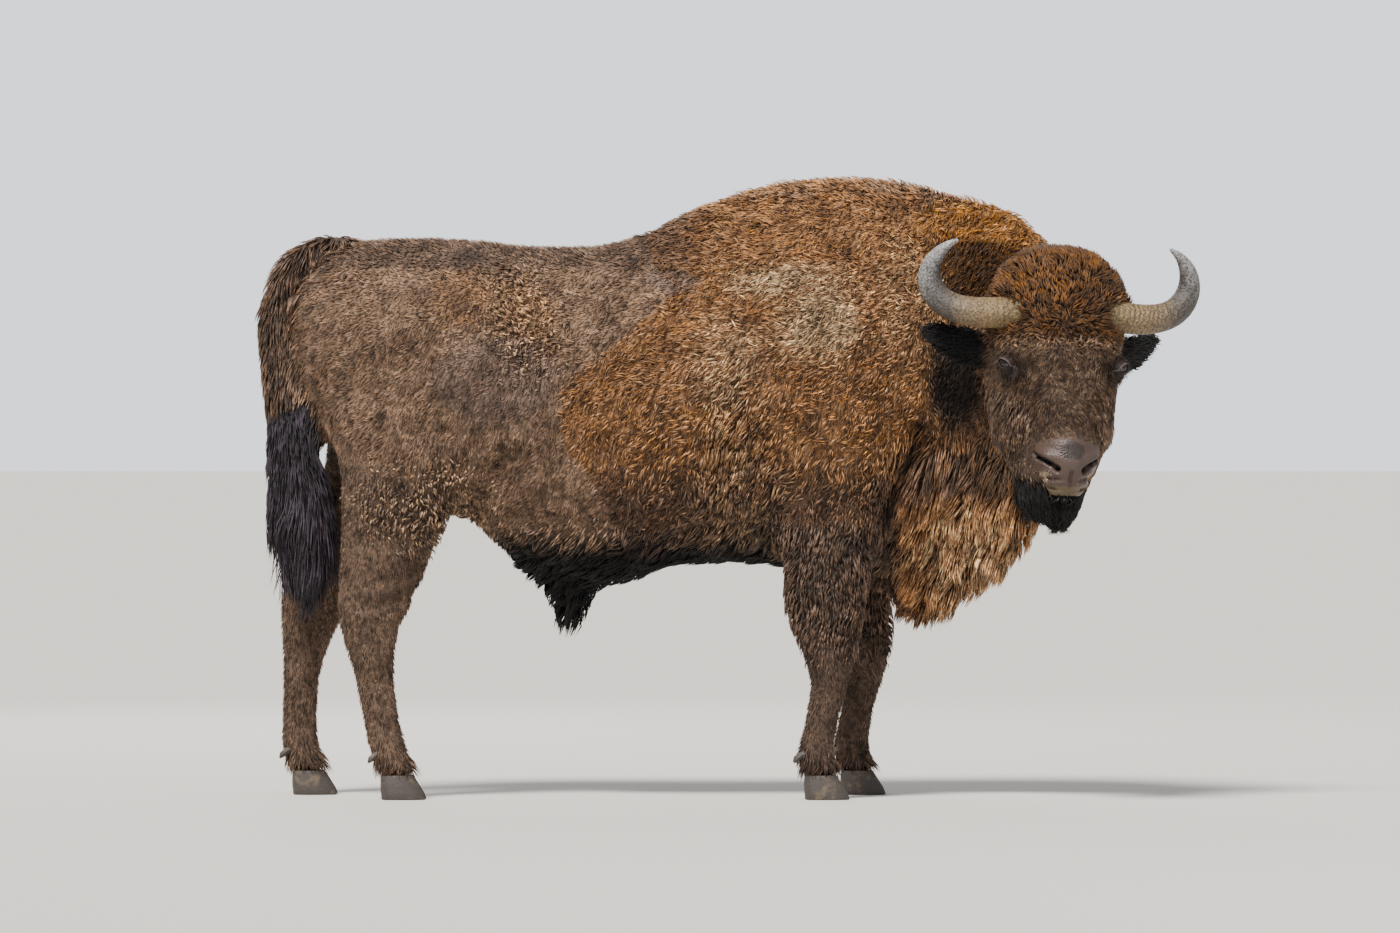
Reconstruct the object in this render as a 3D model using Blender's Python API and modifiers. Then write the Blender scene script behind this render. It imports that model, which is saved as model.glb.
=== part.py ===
"""Wisent bull, standing with its head turned to its right: life-size still model.

Axes: +X nose end, +Y the animal's left, +Z up, floor at Z = 0, metres.
The body is shaped whole from lofts, then parted by thin planar cuts.
"""
import math

import bpy
import bmesh
from mathutils import Matrix, Vector

GAP = 0.0004                    # clearance wherever two nodes meet
VOXEL = 0.0135                  # grid the lofts are fused on
BODY_TRIANGLES = 3900           # flesh triangles before the cuts
SIDES = 28                      # corners of a flesh ring
ACROSS = Vector((0, 1, 0))

HEAD_AT = Vector((0.9425, -0.45, 1.251))   # midpoint between the eyes
HEAD_YAW = math.radians(-80)    # turned to the right
HEAD_ROLL = math.radians(2.5)   # left side a little lower
HOOF_TOP = 0.070
EYE_RADIUS = 0.021
EYE_AT = (0.165, 0.055, 0.002)    # beside, before and above HEAD_AT

COAT = (0.16, 0.095, 0.055)
DARK_COAT = (0.045, 0.032, 0.027)
HORN = (0.30, 0.25, 0.18)
HOOF = (0.05, 0.042, 0.038)
EYE = (0.015, 0.009, 0.006)

for old in list(bpy.data.objects):
    bpy.data.objects.remove(old, do_unlink=True)
parts = bpy.data.collections.new("wisent")
tools = bpy.data.collections.new("tools")
for group in (parts, tools):
    bpy.context.scene.collection.children.link(group)


def material(name, colour, roughness):
    made = bpy.data.materials.new(name)
    made.use_nodes = True
    shader = made.node_tree.nodes["Principled BSDF"]
    shader.inputs["Base Color"].default_value = (*colour, 1)
    shader.inputs["Roughness"].default_value = roughness
    shader.inputs["Metallic"].default_value = 0
    return made


coat = material("coat", COAT, 0.9)
dark_coat = material("dark_coat", DARK_COAT, 0.9)
horn_stuff = material("horn", HORN, 0.5)
hoof_stuff = material("hoof", HOOF, 0.5)
eye_stuff = material("eye", EYE, 0.1)


def place(name, bm, look=None):
    """Mesh object from bm: a node if it has a look, otherwise a hidden tool."""
    bmesh.ops.recalc_face_normals(bm, faces=bm.faces)
    # One fixed diagonal, so that a socket's facets run parallel to its piece's.
    bmesh.ops.triangulate(bm, faces=bm.faces, quad_method="FIXED")
    mesh = bpy.data.meshes.new(name)
    bm.to_mesh(mesh)
    bm.free()
    made = bpy.data.objects.new(name, mesh)
    if look:
        mesh.materials.append(look)
        parts.objects.link(made)
    else:
        tools.objects.link(made)
        made.hide_render = True
        made.display_type = "WIRE"
    return made


def loft(rings, bm=None):
    """Skin closed rings of equal count one to the next and close both ends."""
    bm = bm or bmesh.new()
    loops = [[bm.verts.new(point) for point in ring] for ring in rings]
    count = len(rings[0])
    for near, far in zip(loops, loops[1:]):
        for i in range(count):
            j = (i + 1) % count
            bm.faces.new((near[i], near[j], far[j], far[i]))
    for loop in (loops[0], loops[-1]):
        middle = bm.verts.new(sum((v.co for v in loop), Vector()) / count)
        for i in range(count):
            bm.faces.new((loop[i], loop[(i + 1) % count], middle))
    return bm


def power(value, exponent):
    return math.copysign(abs(value) ** exponent, value)


def turns(sides):
    return [2 * math.pi * i / sides for i in range(sides)]


def upright_ring(centre, side, top, bottom, half, widest, peak=2.0, keel=2.0):
    """Ring in an upright plane: side is its level direction, peak and keel its fullness."""
    ring = []
    for turn in turns(SIDES):
        up = math.sin(turn)
        reach, fullness = (top - widest, peak) if up > 0 else (widest - bottom, keel)
        ring.append(Vector((centre[0], centre[1], 0))
                    + side * (half * power(math.cos(turn), 2 / fullness))
                    + Vector((0, 0, widest + reach * power(up, 2 / fullness))))
    return ring


def level_ring(x, y, z, half_x, half_y, taper=0.0, sides=SIDES, full=2.0):
    """Ring in a level plane, narrower toward +X by taper."""
    ring = []
    for turn in turns(sides):
        along = power(math.cos(turn), 2 / full)
        across = power(math.sin(turn), 2 / full) * (1 - taper * along)
        ring.append(Vector((x + half_x * along, y + half_y * across, z)))
    return ring


def tube(path, radii, sides=12):
    """Round rings across a path."""
    rings = []
    for i, point in enumerate(path):
        ahead = (path[min(i + 1, len(path) - 1)] - path[max(i - 1, 0)]).normalized()
        across = (ACROSS - ahead * ACROSS.dot(ahead)).normalized()
        other = ahead.cross(across)
        rings.append([point + (across * math.cos(t) + other * math.sin(t)) * radii[i]
                      for t in turns(sides)])
    return rings


def smooth_path(points, radii, steps):
    """Catmull-Rom through points, with the radii carried along."""
    out, sizes = [], []
    last = len(points) - 1
    for i in range(last):
        a, b, c, d = (points[max(0, min(last, i + k))] for k in (-1, 0, 1, 2))
        for step in range(steps):
            t = step / steps
            out.append(0.5 * (2 * b + (c - a) * t + (2 * a - 5 * b + 4 * c - d) * t ** 2
                              + (3 * b - a - 3 * c + d) * t ** 3))
            sizes.append(radii[i] + (radii[i + 1] - radii[i]) * t)
    return out + [points[last]], sizes + [radii[last]]


# Head frame: x forward out of the face, y to the animal's left, z up the forehead.
head_frame = (Matrix.Translation(HEAD_AT) @ Matrix.Rotation(HEAD_YAW, 4, "Z")
              @ Matrix.Rotation(-HEAD_ROLL, 4, "X"))


def in_head(side, ahead, up):
    return head_frame @ Vector((ahead, side, up))


# ---- flesh lofts ----
TRUNK = [  # x, top, bottom, half width, height of the widest line, peak, keel
    (-1.254, 1.430, 1.330, 0.060, 1.38, 2.0, 2.0),
    (-1.240, 1.500, 1.230, 0.125, 1.36, 2.0, 2.0),
    (-1.195, 1.574, 1.080, 0.185, 1.33, 2.0, 2.0),
    (-1.110, 1.618, 0.940, 0.235, 1.28, 1.9, 2.0),
    (-1.000, 1.628, 0.850, 0.262, 1.26, 1.8, 2.0),
    (-0.880, 1.634, 0.818, 0.274, 1.30, 1.8, 2.0),
    (-0.766, 1.628, 0.815, 0.276, 1.32, 1.8, 2.1),
    (-0.664, 1.618, 0.720, 0.274, 1.22, 1.75, 2.2),
    (-0.548, 1.610, 0.650, 0.290, 1.12, 1.7, 2.2),
    (-0.397, 1.602, 0.612, 0.315, 1.07, 1.7, 2.2),
    (-0.258, 1.644, 0.630, 0.333, 1.07, 1.65, 2.2),
    (-0.128, 1.722, 0.655, 0.340, 1.09, 1.6, 2.1),
    (0.000, 1.768, 0.664, 0.342, 1.13, 1.6, 2.0),
    (0.142, 1.804, 0.648, 0.342, 1.17, 1.65, 1.8),
    (0.280, 1.821, 0.615, 0.338, 1.21, 1.7, 1.7),
    (0.420, 1.815, 0.596, 0.322, 1.24, 1.75, 1.6),
    (0.545, 1.798, 0.590, 0.290, 1.24, 1.75, 1.6),
    (0.632, 1.778, 0.640, 0.250, 1.24, 1.75, 1.7),
    (0.700, 1.745, 0.720, 0.200, 1.24, 1.7, 1.7),
]
NECK = [  # x, y, heading in degrees, top, bottom, half width, widest, peak
    (0.500, 0.000, 0, 1.780, 0.640, 0.270, 1.24, 1.75),
    (0.620, -0.005, -4, 1.775, 0.640, 0.250, 1.24, 1.75),
    (0.720, -0.035, -22, 1.765, 0.680, 0.225, 1.24, 1.7),
    (0.800, -0.090, -42, 1.742, 0.760, 0.208, 1.24, 1.6),
    (0.862, -0.165, -58, 1.695, 0.840, 0.200, 1.24, 1.6),
    (0.905, -0.250, -70, 1.600, 0.900, 0.198, 1.23, 1.8),
    (0.930, -0.330, -76, 1.540, 0.930, 0.195, 1.23, 2.0),
]
HEAD = [  # up, front, back, half width, taper toward the nose
    (0.352, -0.030, -0.110, 0.050, 0.0),
    (0.335, 0.020, -0.150, 0.115, 0.0),
    (0.290, 0.065, -0.190, 0.166, 0.0),
    (0.245, 0.085, -0.215, 0.196, 0.0),
    (0.200, 0.096, -0.225, 0.218, 0.0),
    (0.160, 0.102, -0.230, 0.220, 0.0),
    (0.110, 0.110, -0.230, 0.200, 0.03),
    (0.050, 0.124, -0.230, 0.186, 0.06),
    (-0.020, 0.148, -0.225, 0.182, 0.12),
    (-0.100, 0.184, -0.220, 0.182, 0.22),
    (-0.170, 0.218, -0.215, 0.172, 0.32),
    (-0.225, 0.246, -0.210, 0.158, 0.38),
    (-0.270, 0.260, -0.205, 0.140, 0.34),
    (-0.310, 0.250, -0.195, 0.122, 0.30),
    (-0.350, 0.226, -0.185, 0.108, 0.30),
    (-0.390, 0.182, -0.170, 0.093, 0.32),
    (-0.425, 0.148, -0.130, 0.072, 0.28),
    (-0.452, 0.126, -0.040, 0.048, 0.0),
    (-0.470, 0.106, 0.030, 0.020, 0.0),
]
BIB = [  # throat mane: x, y, heading, bottom, half thickness
    (0.410, 0.000, 0, 0.560, 0.060),
    (0.470, 0.000, 0, 0.500, 0.085),
    (0.545, -0.010, -10, 0.470, 0.100),
    (0.620, -0.035, -24, 0.490, 0.105),
    (0.690, -0.075, -38, 0.540, 0.105),
    (0.755, -0.130, -50, 0.582, 0.105),
    (0.812, -0.205, -60, 0.650, 0.100),
    (0.850, -0.270, -68, 0.715, 0.085),
    (0.868, -0.315, -74, 0.790, 0.055),
]
SHEATH = [  # height, rear x, front x, half width
    (0.760, -0.700, -0.240, 0.110),
    (0.690, -0.655, -0.260, 0.085),
    (0.630, -0.582, -0.300, 0.062),
    (0.585, -0.535, -0.385, 0.050),
    (0.540, -0.512, -0.405, 0.040),
    (0.500, -0.490, -0.400, 0.028),
    (0.474, -0.455, -0.412, 0.010),
]
RIGHT_FORE = [  # height, x, half x, y from the middle, half y
    (1.060, 0.300, 0.170, 0.190, 0.110),
    (0.880, 0.300, 0.178, 0.200, 0.112),
    (0.760, 0.296, 0.168, 0.198, 0.108),
    (0.660, 0.291, 0.152, 0.190, 0.098),
    (0.580, 0.281, 0.134, 0.182, 0.086),
    (0.515, 0.276, 0.114, 0.176, 0.074),
    (0.450, 0.283, 0.096, 0.172, 0.064),
    (0.400, 0.291, 0.081, 0.170, 0.058),
    (0.340, 0.290, 0.063, 0.168, 0.049),
    (0.250, 0.272, 0.056, 0.168, 0.045),
    (0.185, 0.260, 0.058, 0.168, 0.048),
    (0.140, 0.246, 0.062, 0.168, 0.054),
    (0.105, 0.256, 0.058, 0.168, 0.054),
    (0.070, 0.268, 0.060, 0.168, 0.062),
    (0.030, 0.272, 0.060, 0.168, 0.062),
]
LEFT_FORE = [
    (1.060, 0.330, 0.160, 0.190, 0.110),
    (0.880, 0.340, 0.168, 0.200, 0.112),
    (0.760, 0.350, 0.160, 0.198, 0.108),
    (0.660, 0.362, 0.140, 0.190, 0.098),
    (0.580, 0.374, 0.122, 0.182, 0.086),
    (0.515, 0.382, 0.102, 0.176, 0.074),
    (0.450, 0.392, 0.090, 0.172, 0.064),
    (0.400, 0.400, 0.078, 0.170, 0.058),
    (0.340, 0.398, 0.062, 0.168, 0.049),
    (0.250, 0.374, 0.056, 0.168, 0.045),
    (0.185, 0.363, 0.058, 0.168, 0.048),
    (0.140, 0.352, 0.062, 0.168, 0.054),
    (0.105, 0.364, 0.058, 0.168, 0.054),
    (0.070, 0.378, 0.060, 0.168, 0.062),
    (0.030, 0.382, 0.060, 0.168, 0.062),
]
RIGHT_HIND = [
    (1.240, -0.940, 0.180, 0.130, 0.090),
    (1.100, -0.940, 0.205, 0.148, 0.112),
    (0.950, -0.938, 0.202, 0.162, 0.118),
    (0.830, -0.962, 0.184, 0.168, 0.112),
    (0.740, -0.984, 0.163, 0.168, 0.100),
    (0.660, -1.000, 0.146, 0.168, 0.086),
    (0.580, -1.018, 0.126, 0.168, 0.070),
    (0.490, -1.038, 0.096, 0.168, 0.058),
    (0.425, -1.034, 0.077, 0.168, 0.050),
    (0.340, -1.022, 0.065, 0.168, 0.045),
    (0.255, -1.009, 0.062, 0.168, 0.044),
    (0.180, -0.994, 0.062, 0.168, 0.049),
    (0.140, -0.982, 0.064, 0.168, 0.054),
    (0.105, -0.968, 0.060, 0.168, 0.054),
    (0.070, -0.955, 0.060, 0.168, 0.060),
    (0.030, -0.950, 0.060, 0.168, 0.060),
]
LEFT_HIND = [
    (1.240, -0.960, 0.180, 0.130, 0.090),
    (1.100, -0.975, 0.205, 0.148, 0.112),
    (0.950, -1.005, 0.200, 0.162, 0.118),
    (0.830, -1.055, 0.180, 0.168, 0.112),
    (0.740, -1.105, 0.158, 0.168, 0.100),
    (0.660, -1.150, 0.140, 0.168, 0.086),
    (0.580, -1.200, 0.121, 0.168, 0.070),
    (0.490, -1.224, 0.094, 0.168, 0.058),
    (0.425, -1.235, 0.074, 0.168, 0.050),
    (0.340, -1.246, 0.062, 0.168, 0.045),
    (0.255, -1.251, 0.060, 0.168, 0.044),
    (0.180, -1.253, 0.060, 0.168, 0.049),
    (0.140, -1.250, 0.062, 0.168, 0.054),
    (0.105, -1.236, 0.060, 0.168, 0.054),
    (0.070, -1.222, 0.060, 0.168, 0.060),
    (0.030, -1.217, 0.060, 0.168, 0.060),
]
SWELLINGS = [  # centre x, side y, z, then the three half sizes; both sides get one
    (0.300, 0.205, 1.060, 0.190, 0.135, 0.340),    # shoulder
    (-0.935, 0.155, 1.040, 0.225, 0.125, 0.310),   # thigh
]
ORBIT = (0.136, 0.035, 0.004, 0.052)               # brow round each eye: beside, ahead, up, radius


def heading_side(degrees):
    turn = math.radians(degrees)
    return Vector((-math.sin(turn), math.cos(turn), 0))


def leg(stations, side):
    return [level_ring(x, side * y, z, half_x, half_y)
            for z, x, half_x, y, half_y in stations]


lofts = [
    [upright_ring((x, 0), ACROSS, top, low, half, widest, peak, keel)
     for x, top, low, half, widest, peak, keel in TRUNK],
    [upright_ring((x, y), heading_side(turn), top, low, half, widest, peak, 1.9)
     for x, y, turn, top, low, half, widest, peak in NECK],
    [[head_frame @ p for p in level_ring((front + back) / 2, 0, up, (front - back) / 2,
                                         half, taper, full=2.2)]
     for up, front, back, half, taper in HEAD],
    [upright_ring((x, y), heading_side(turn), 1.15, low, half, 0.95, 2.0, 1.7)
     for x, y, turn, low, half in BIB],
    [level_ring((rear + front) / 2, 0, z, (front - rear) / 2, half)
     for z, rear, front, half in SHEATH],
    leg(RIGHT_FORE, -1), leg(LEFT_FORE, 1), leg(RIGHT_HIND, -1), leg(LEFT_HIND, 1),
]
flesh = bmesh.new()
for rings in lofts:
    loft(rings, flesh)
for x, y, z, *halves in SWELLINGS:
    for side in (-1, 1):
        at = Matrix.Translation((x, side * y, z)) @ Matrix.Diagonal((*halves, 1))
        bmesh.ops.create_icosphere(flesh, subdivisions=3, radius=1, matrix=at)
for side in (-1, 1):
    at = Matrix.Translation(in_head(side * ORBIT[0], ORBIT[1], ORBIT[2]))
    bmesh.ops.create_icosphere(flesh, subdivisions=3, radius=ORBIT[3], matrix=at)
whole = place("whole", flesh)


def evaluated(ob):
    """Bake the modifiers of ob into its mesh."""
    bpy.context.view_layer.update()
    seen = ob.evaluated_get(bpy.context.evaluated_depsgraph_get())
    mesh = bpy.data.meshes.new_from_object(seen)
    ob.modifiers.clear()
    ob.data = mesh
    return ob


fuse = whole.modifiers.new("fuse", "REMESH")
fuse.mode = "VOXEL"
fuse.voxel_size = VOXEL
soften = whole.modifiers.new("soften", "SMOOTH")
soften.factor = 0.5
soften.iterations = 4
evaluated(whole)


def ramp(value, start, end):
    return min(1.0, max(0.0, (value - start) / (end - start)))


# Trunk, shoulders and thighs run together softly; head, feet and hanging hair stay crisp.
broad = whole.vertex_groups.new(name="broad")
for vertex in whole.data.vertices:
    co = vertex.co
    share = ramp(co.z, 0.60, 0.80) * ramp((co - HEAD_AT).length, 0.38, 0.55)
    broad.add([vertex.index], share * (1 - ramp(co.x, 0.45, 0.60) * ramp(-co.z, -1.0, -0.8)),
              "REPLACE")
blend = whole.modifiers.new("blend", "SMOOTH")
blend.factor = 0.5
blend.iterations = 70
blend.vertex_group = "broad"
evaluated(whole)

thin_out = whole.modifiers.new("thin_out", "DECIMATE")
thin_out.ratio = BODY_TRIANGLES / (2 * len(whole.data.polygons))
evaluated(whole)


# ---- thin cuts between the flesh nodes ----
def block(name, corners_low, corners_high, grow=0.0, frame=Matrix()):
    """Box between two corners, grown all round, in a frame."""
    low = Vector(corners_low) - Vector((grow,) * 3)
    high = Vector(corners_high) + Vector((grow,) * 3)
    bm = bmesh.new()
    at = frame @ Matrix.Translation((low + high) / 2) @ Matrix.Diagonal((*(high - low), 1))
    bmesh.ops.create_cube(bm, size=1, matrix=at)
    return place(name, bm)


def wedge(name, outline, y_low, y_high, grow=0.0):
    """Prism along Y over a convex outline of (x, z), grown outward."""
    middle = sum((Vector(p) for p in outline), Vector((0, 0))) / len(outline)
    sides = []
    count = len(outline)
    for i in range(count):
        a, b = Vector(outline[i]), Vector(outline[(i + 1) % count])
        normal = Vector((b.y - a.y, a.x - b.x)).normalized()
        if normal.dot(a - middle) < 0:
            normal.negate()
        sides.append((normal, normal.dot(a) + grow))
    corners = []
    for (n, d), (m, e) in zip(sides[-1:] + sides[:-1], sides):
        cross = n.x * m.y - n.y * m.x
        corners.append(((d * m.y - e * n.y) / cross, (n.x * e - m.x * d) / cross))
    rings = [[Vector((x, y, z)) for x, z in corners] for y in (y_low - grow, y_high + grow)]
    return place(name, loft(rings))


def boolean(ob, cutter, operation):
    made = ob.modifiers.new(cutter.name, "BOOLEAN")
    made.object = cutter
    made.operation = operation
    made.solver = "EXACT"


def fore_outline(rear, front):
    return [(rear, -0.10), (front, -0.10), (front, 0.800), (rear, 0.800)]


HIND = [(-1.40, -0.10), (-0.60, -0.10), (-0.735, 0.860), (-1.40, 1.120)]
INSIDE, OUTSIDE = 0.088, 0.50
HIND_INSIDE = 0.045
HEAD_BACK = -0.148              # plane behind the jaw, in the head frame
NECK_FRONT = 0.575              # plane between trunk and neck

cuts = {
    "leg_front_right": (fore_outline(0.125, 0.468), INSIDE, -1),
    "leg_front_left": (fore_outline(0.182, 0.505), INSIDE, 1),
    "leg_hind_right": (HIND, HIND_INSIDE, -1),
    "leg_hind_left": (HIND, HIND_INSIDE, 1),
}
legs, around_legs = {}, []
for name, (outline, inside, side) in cuts.items():
    near, far = sorted((side * inside, side * OUTSIDE))
    legs[name] = wedge("cut_" + name, outline, near, far)
    around_legs.append(wedge("clear_" + name, outline, near, far, GAP))
head_cut = block("cut_head", (HEAD_BACK, -0.31, -0.62), (0.6, 0.45, 0.6), 0, head_frame)
head_clear = block("clear_head", (HEAD_BACK, -0.31, -0.62), (0.6, 0.45, 0.6), GAP, head_frame)
neck_cut = block("cut_neck", (NECK_FRONT, -1.2, 0), (1.6, 1.2, 2.2))
neck_clear = block("clear_neck", (NECK_FRONT, -1.2, 0), (1.6, 1.2, 2.2), GAP)


def copy_of_whole(name):
    made = bpy.data.objects.new(name, whole.data.copy())
    made.data.materials.clear()
    made.data.materials.append(coat)
    parts.objects.link(made)
    return made


nodes = {name: copy_of_whole(name) for name in ("head", "neck", "trunk", *legs)}
boolean(nodes["head"], head_cut, "INTERSECT")
boolean(nodes["neck"], neck_cut, "INTERSECT")
boolean(nodes["neck"], head_clear, "DIFFERENCE")
boolean(nodes["trunk"], neck_clear, "DIFFERENCE")
hoof_line = block("clear_hooves", (-2, -1, -0.5), (2, 1, HOOF_TOP), GAP)
for name, cutter in legs.items():
    boolean(nodes[name], cutter, "INTERSECT")
    boolean(nodes[name], hoof_line, "DIFFERENCE")
for cutter in around_legs:
    boolean(nodes["trunk"], cutter, "DIFFERENCE")
for ob in nodes.values():
    evaluated(ob)


# ---- pieces set into the flesh ----
def set_in(name, rings_at, look, *hosts):
    """Piece from rings_at(0), with a socket of rings_at(GAP) sunk in each host."""
    nodes[name] = place(name, loft(rings_at(0.0)), look)
    for host in hosts:
        boolean(nodes[host], place("socket_" + name + host, loft(rings_at(GAP))), "DIFFERENCE")


HORN_LINE = [  # beside, ahead, up, radius
    (0.120, 0.020, 0.152, 0.045),
    (0.190, 0.012, 0.146, 0.0475),
    (0.255, -0.008, 0.145, 0.0455),
    (0.316, -0.028, 0.158, 0.0425),
    (0.358, -0.042, 0.188, 0.0405),
    (0.379, -0.047, 0.230, 0.0365),
    (0.378, -0.040, 0.272, 0.0300),
    (0.362, -0.026, 0.306, 0.0220),
    (0.338, -0.012, 0.332, 0.0130),
    (0.309, 0.000, 0.350, 0.0040),
]


def horn_rings(side, grow):
    points = [in_head(side * beside, ahead, up) for beside, ahead, up, _ in HORN_LINE]
    path, radii = smooth_path(points, [r for *_, r in HORN_LINE], 2)
    start = (path[0] - path[1]).normalized() * grow
    path[0] = path[0] + start
    path[-1] = path[-1] + (path[-1] - path[-2]).normalized() * grow
    return tube(path, [r + grow for r in radii], sides=10)


EAR_LINE = [  # beside, ahead, up, half height, half thickness
    (0.122, -0.088, 0.031, 0.030, 0.022),
    (0.178, -0.135, 0.036, 0.050, 0.026),
    (0.230, -0.178, 0.044, 0.062, 0.027),
    (0.280, -0.222, 0.058, 0.058, 0.024),
    (0.324, -0.264, 0.080, 0.042, 0.017),
    (0.352, -0.294, 0.100, 0.018, 0.010),
]


# The right ear is held off the neck: reach outward and sweep back, as shares of EAR_LINE.
EAR_SWING = {-1: (1.08, 0.36), 1: (1.0, 1.0)}


def ear_rings(side, grow):
    rings = []
    root_side, root_ahead = EAR_LINE[0][:2]
    reach, sweep = EAR_SWING[side]
    for beside, ahead, up, tall, thick in EAR_LINE:
        if beside == root_side:
            beside -= grow
        beside = root_side + (beside - root_side) * reach
        ahead = root_ahead + (ahead - root_ahead) * sweep
        rings.append([in_head(side * beside, ahead + (thick + grow) * math.cos(t),
                              up + (tall + grow) * math.sin(t)) for t in turns(12)])
    return rings


def eye_rings(side, grow):
    beside, ahead, up = EYE_AT
    centre, radius = in_head(side * beside, ahead, up), EYE_RADIUS + grow
    return [[centre + Vector((radius * math.sin(a) * math.cos(t),
                              radius * math.sin(a) * math.sin(t), radius * math.cos(a)))
             for t in turns(12)] for a in [math.pi * (k + 0.5) / 7 for k in range(7)]]


for tag, side in (("right", -1), ("left", 1)):
    set_in("horn_" + tag, lambda grow, s=side: horn_rings(s, grow), horn_stuff, "head")
    set_in("ear_" + tag, lambda grow, s=side: ear_rings(s, grow), dark_coat, "head", "neck")
    set_in("eye_" + tag, lambda grow, s=side: eye_rings(s, grow), eye_stuff, "head")

TAIL = [  # x, z, half depth, half width
    (-1.070, 1.592, 0.034, 0.036),
    (-1.160, 1.601, 0.042, 0.038),
    (-1.238, 1.562, 0.049, 0.041),
    (-1.290, 1.495, 0.050, 0.042),
    (-1.313, 1.420, 0.050, 0.042),
    (-1.318, 1.340, 0.050, 0.043),
    (-1.308, 1.240, 0.052, 0.046),
    (-1.290, 1.150, 0.061, 0.052),
    (-1.273, 1.064, 0.077, 0.062),
    (-1.252, 0.948, 0.089, 0.070),
    (-1.238, 0.832, 0.088, 0.070),
    (-1.224, 0.740, 0.072, 0.060),
    (-1.217, 0.670, 0.048, 0.044),
    (-1.214, 0.612, 0.016, 0.016),
]
TAIL_Y = -0.02
SWITCH_TOP = 7                  # station where the long hair begins


def tail_rings(first, last, grow, start=0.0):
    """Rings of the stations first to last, the first one moved along by start."""
    path = [Vector((x, TAIL_Y, z)) for x, z, _, _ in TAIL]
    rings = []
    for i in range(first, last + 1):
        ahead = (path[min(i + 1, len(path) - 1)] - path[max(i - 1, 0)]).normalized()
        other = ahead.cross(ACROSS)
        deep, wide = TAIL[i][2] + grow, TAIL[i][3] + grow
        at = path[i] + ahead * (start if i == first else 0)
        rings.append([at + ACROSS * (wide * math.cos(t)) + other * (deep * math.sin(t))
                      for t in turns(12)])
    return rings


set_in("tail_dock", lambda grow: tail_rings(0, SWITCH_TOP, grow, -grow), dark_coat, "trunk")
set_in("tail_switch", lambda grow: tail_rings(SWITCH_TOP, len(TAIL) - 1, grow, GAP),
       dark_coat, "trunk", "leg_hind_right", "leg_hind_left")

# ---- hooves: two claws and two dewclaws to a foot ----
CLAW = [  # height, middle x, half length, half width
    (0.000, 0.012, 0.066, 0.0285),
    (0.018, 0.008, 0.063, 0.0295),
    (0.042, 0.000, 0.056, 0.0285),
    (HOOF_TOP, -0.008, 0.046, 0.0255),
]
CLEFT = 0.0305                  # claw middle from the foot's middle
DEWCLAW_Z = 0.128


def claw_rings(x, y, outer):
    return [[Vector((p.x, p.y, z)) for p in
             level_ring(x + middle, y + outer * CLEFT, z, length, half, 0.22, 10, 2.3)]
            for z, middle, length, half in CLAW]


def dewclaw_rings(x, y, outer, grow):
    back, out = -0.046, outer * 0.026
    points = [Vector((x + back + 0.030, y + out * 0.8, DEWCLAW_Z + 0.012)),
              Vector((x + back, y + out, DEWCLAW_Z)),
              Vector((x + back - 0.018, y + out * 1.05, DEWCLAW_Z - 0.014)),
              Vector((x + back - 0.026, y + out * 1.05, DEWCLAW_Z - 0.026))]
    points[0] = points[0] + (points[0] - points[1]).normalized() * grow
    return tube(points, [r + grow for r in (0.012, 0.0145, 0.012, 0.004)], sides=6)


FEET = {"leg_front_right": (RIGHT_FORE, -1), "leg_front_left": (LEFT_FORE, 1),
        "leg_hind_right": (RIGHT_HIND, -1), "leg_hind_left": (LEFT_HIND, 1)}
for name, (stations, side) in FEET.items():
    foot_x, pastern_x = stations[-1][1], stations[-4][1]
    foot_y = side * stations[-1][3]
    for tag, outer in (("outer", side), ("inner", -side)):
        short = name.replace("leg_", "")
        place("claw_" + short + "_" + tag, loft(claw_rings(foot_x, foot_y, outer)), hoof_stuff)
        set_in("dewclaw_" + short + "_" + tag,
               lambda grow, o=outer: dewclaw_rings(pastern_x, foot_y, o, grow),
               hoof_stuff, name)

for ob in nodes.values():
    evaluated(ob)

# ---- bring the origin to the middle of the bounding box, on the floor ----
low = Vector((min(v.co[i] for ob in parts.objects for v in ob.data.vertices) for i in range(3)))
high = Vector((max(v.co[i] for ob in parts.objects for v in ob.data.vertices) for i in range(3)))
shift = Matrix.Translation((-(low.x + high.x) / 2, -(low.y + high.y) / 2, -low.z))
for ob in parts.objects:
    ob.data.transform(shift)
print("shift", [round(c, 5) for c in shift.translation], "size", [round(c, 4) for c in high - low])
print("triangles", sum(len(p.vertices) - 2 for ob in parts.objects for p in ob.data.polygons))
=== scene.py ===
import itertools
import math

import bmesh
import bpy
import numpy as np
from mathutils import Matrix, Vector, kdtree
from mathutils.bvhtree import BVHTree


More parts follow.
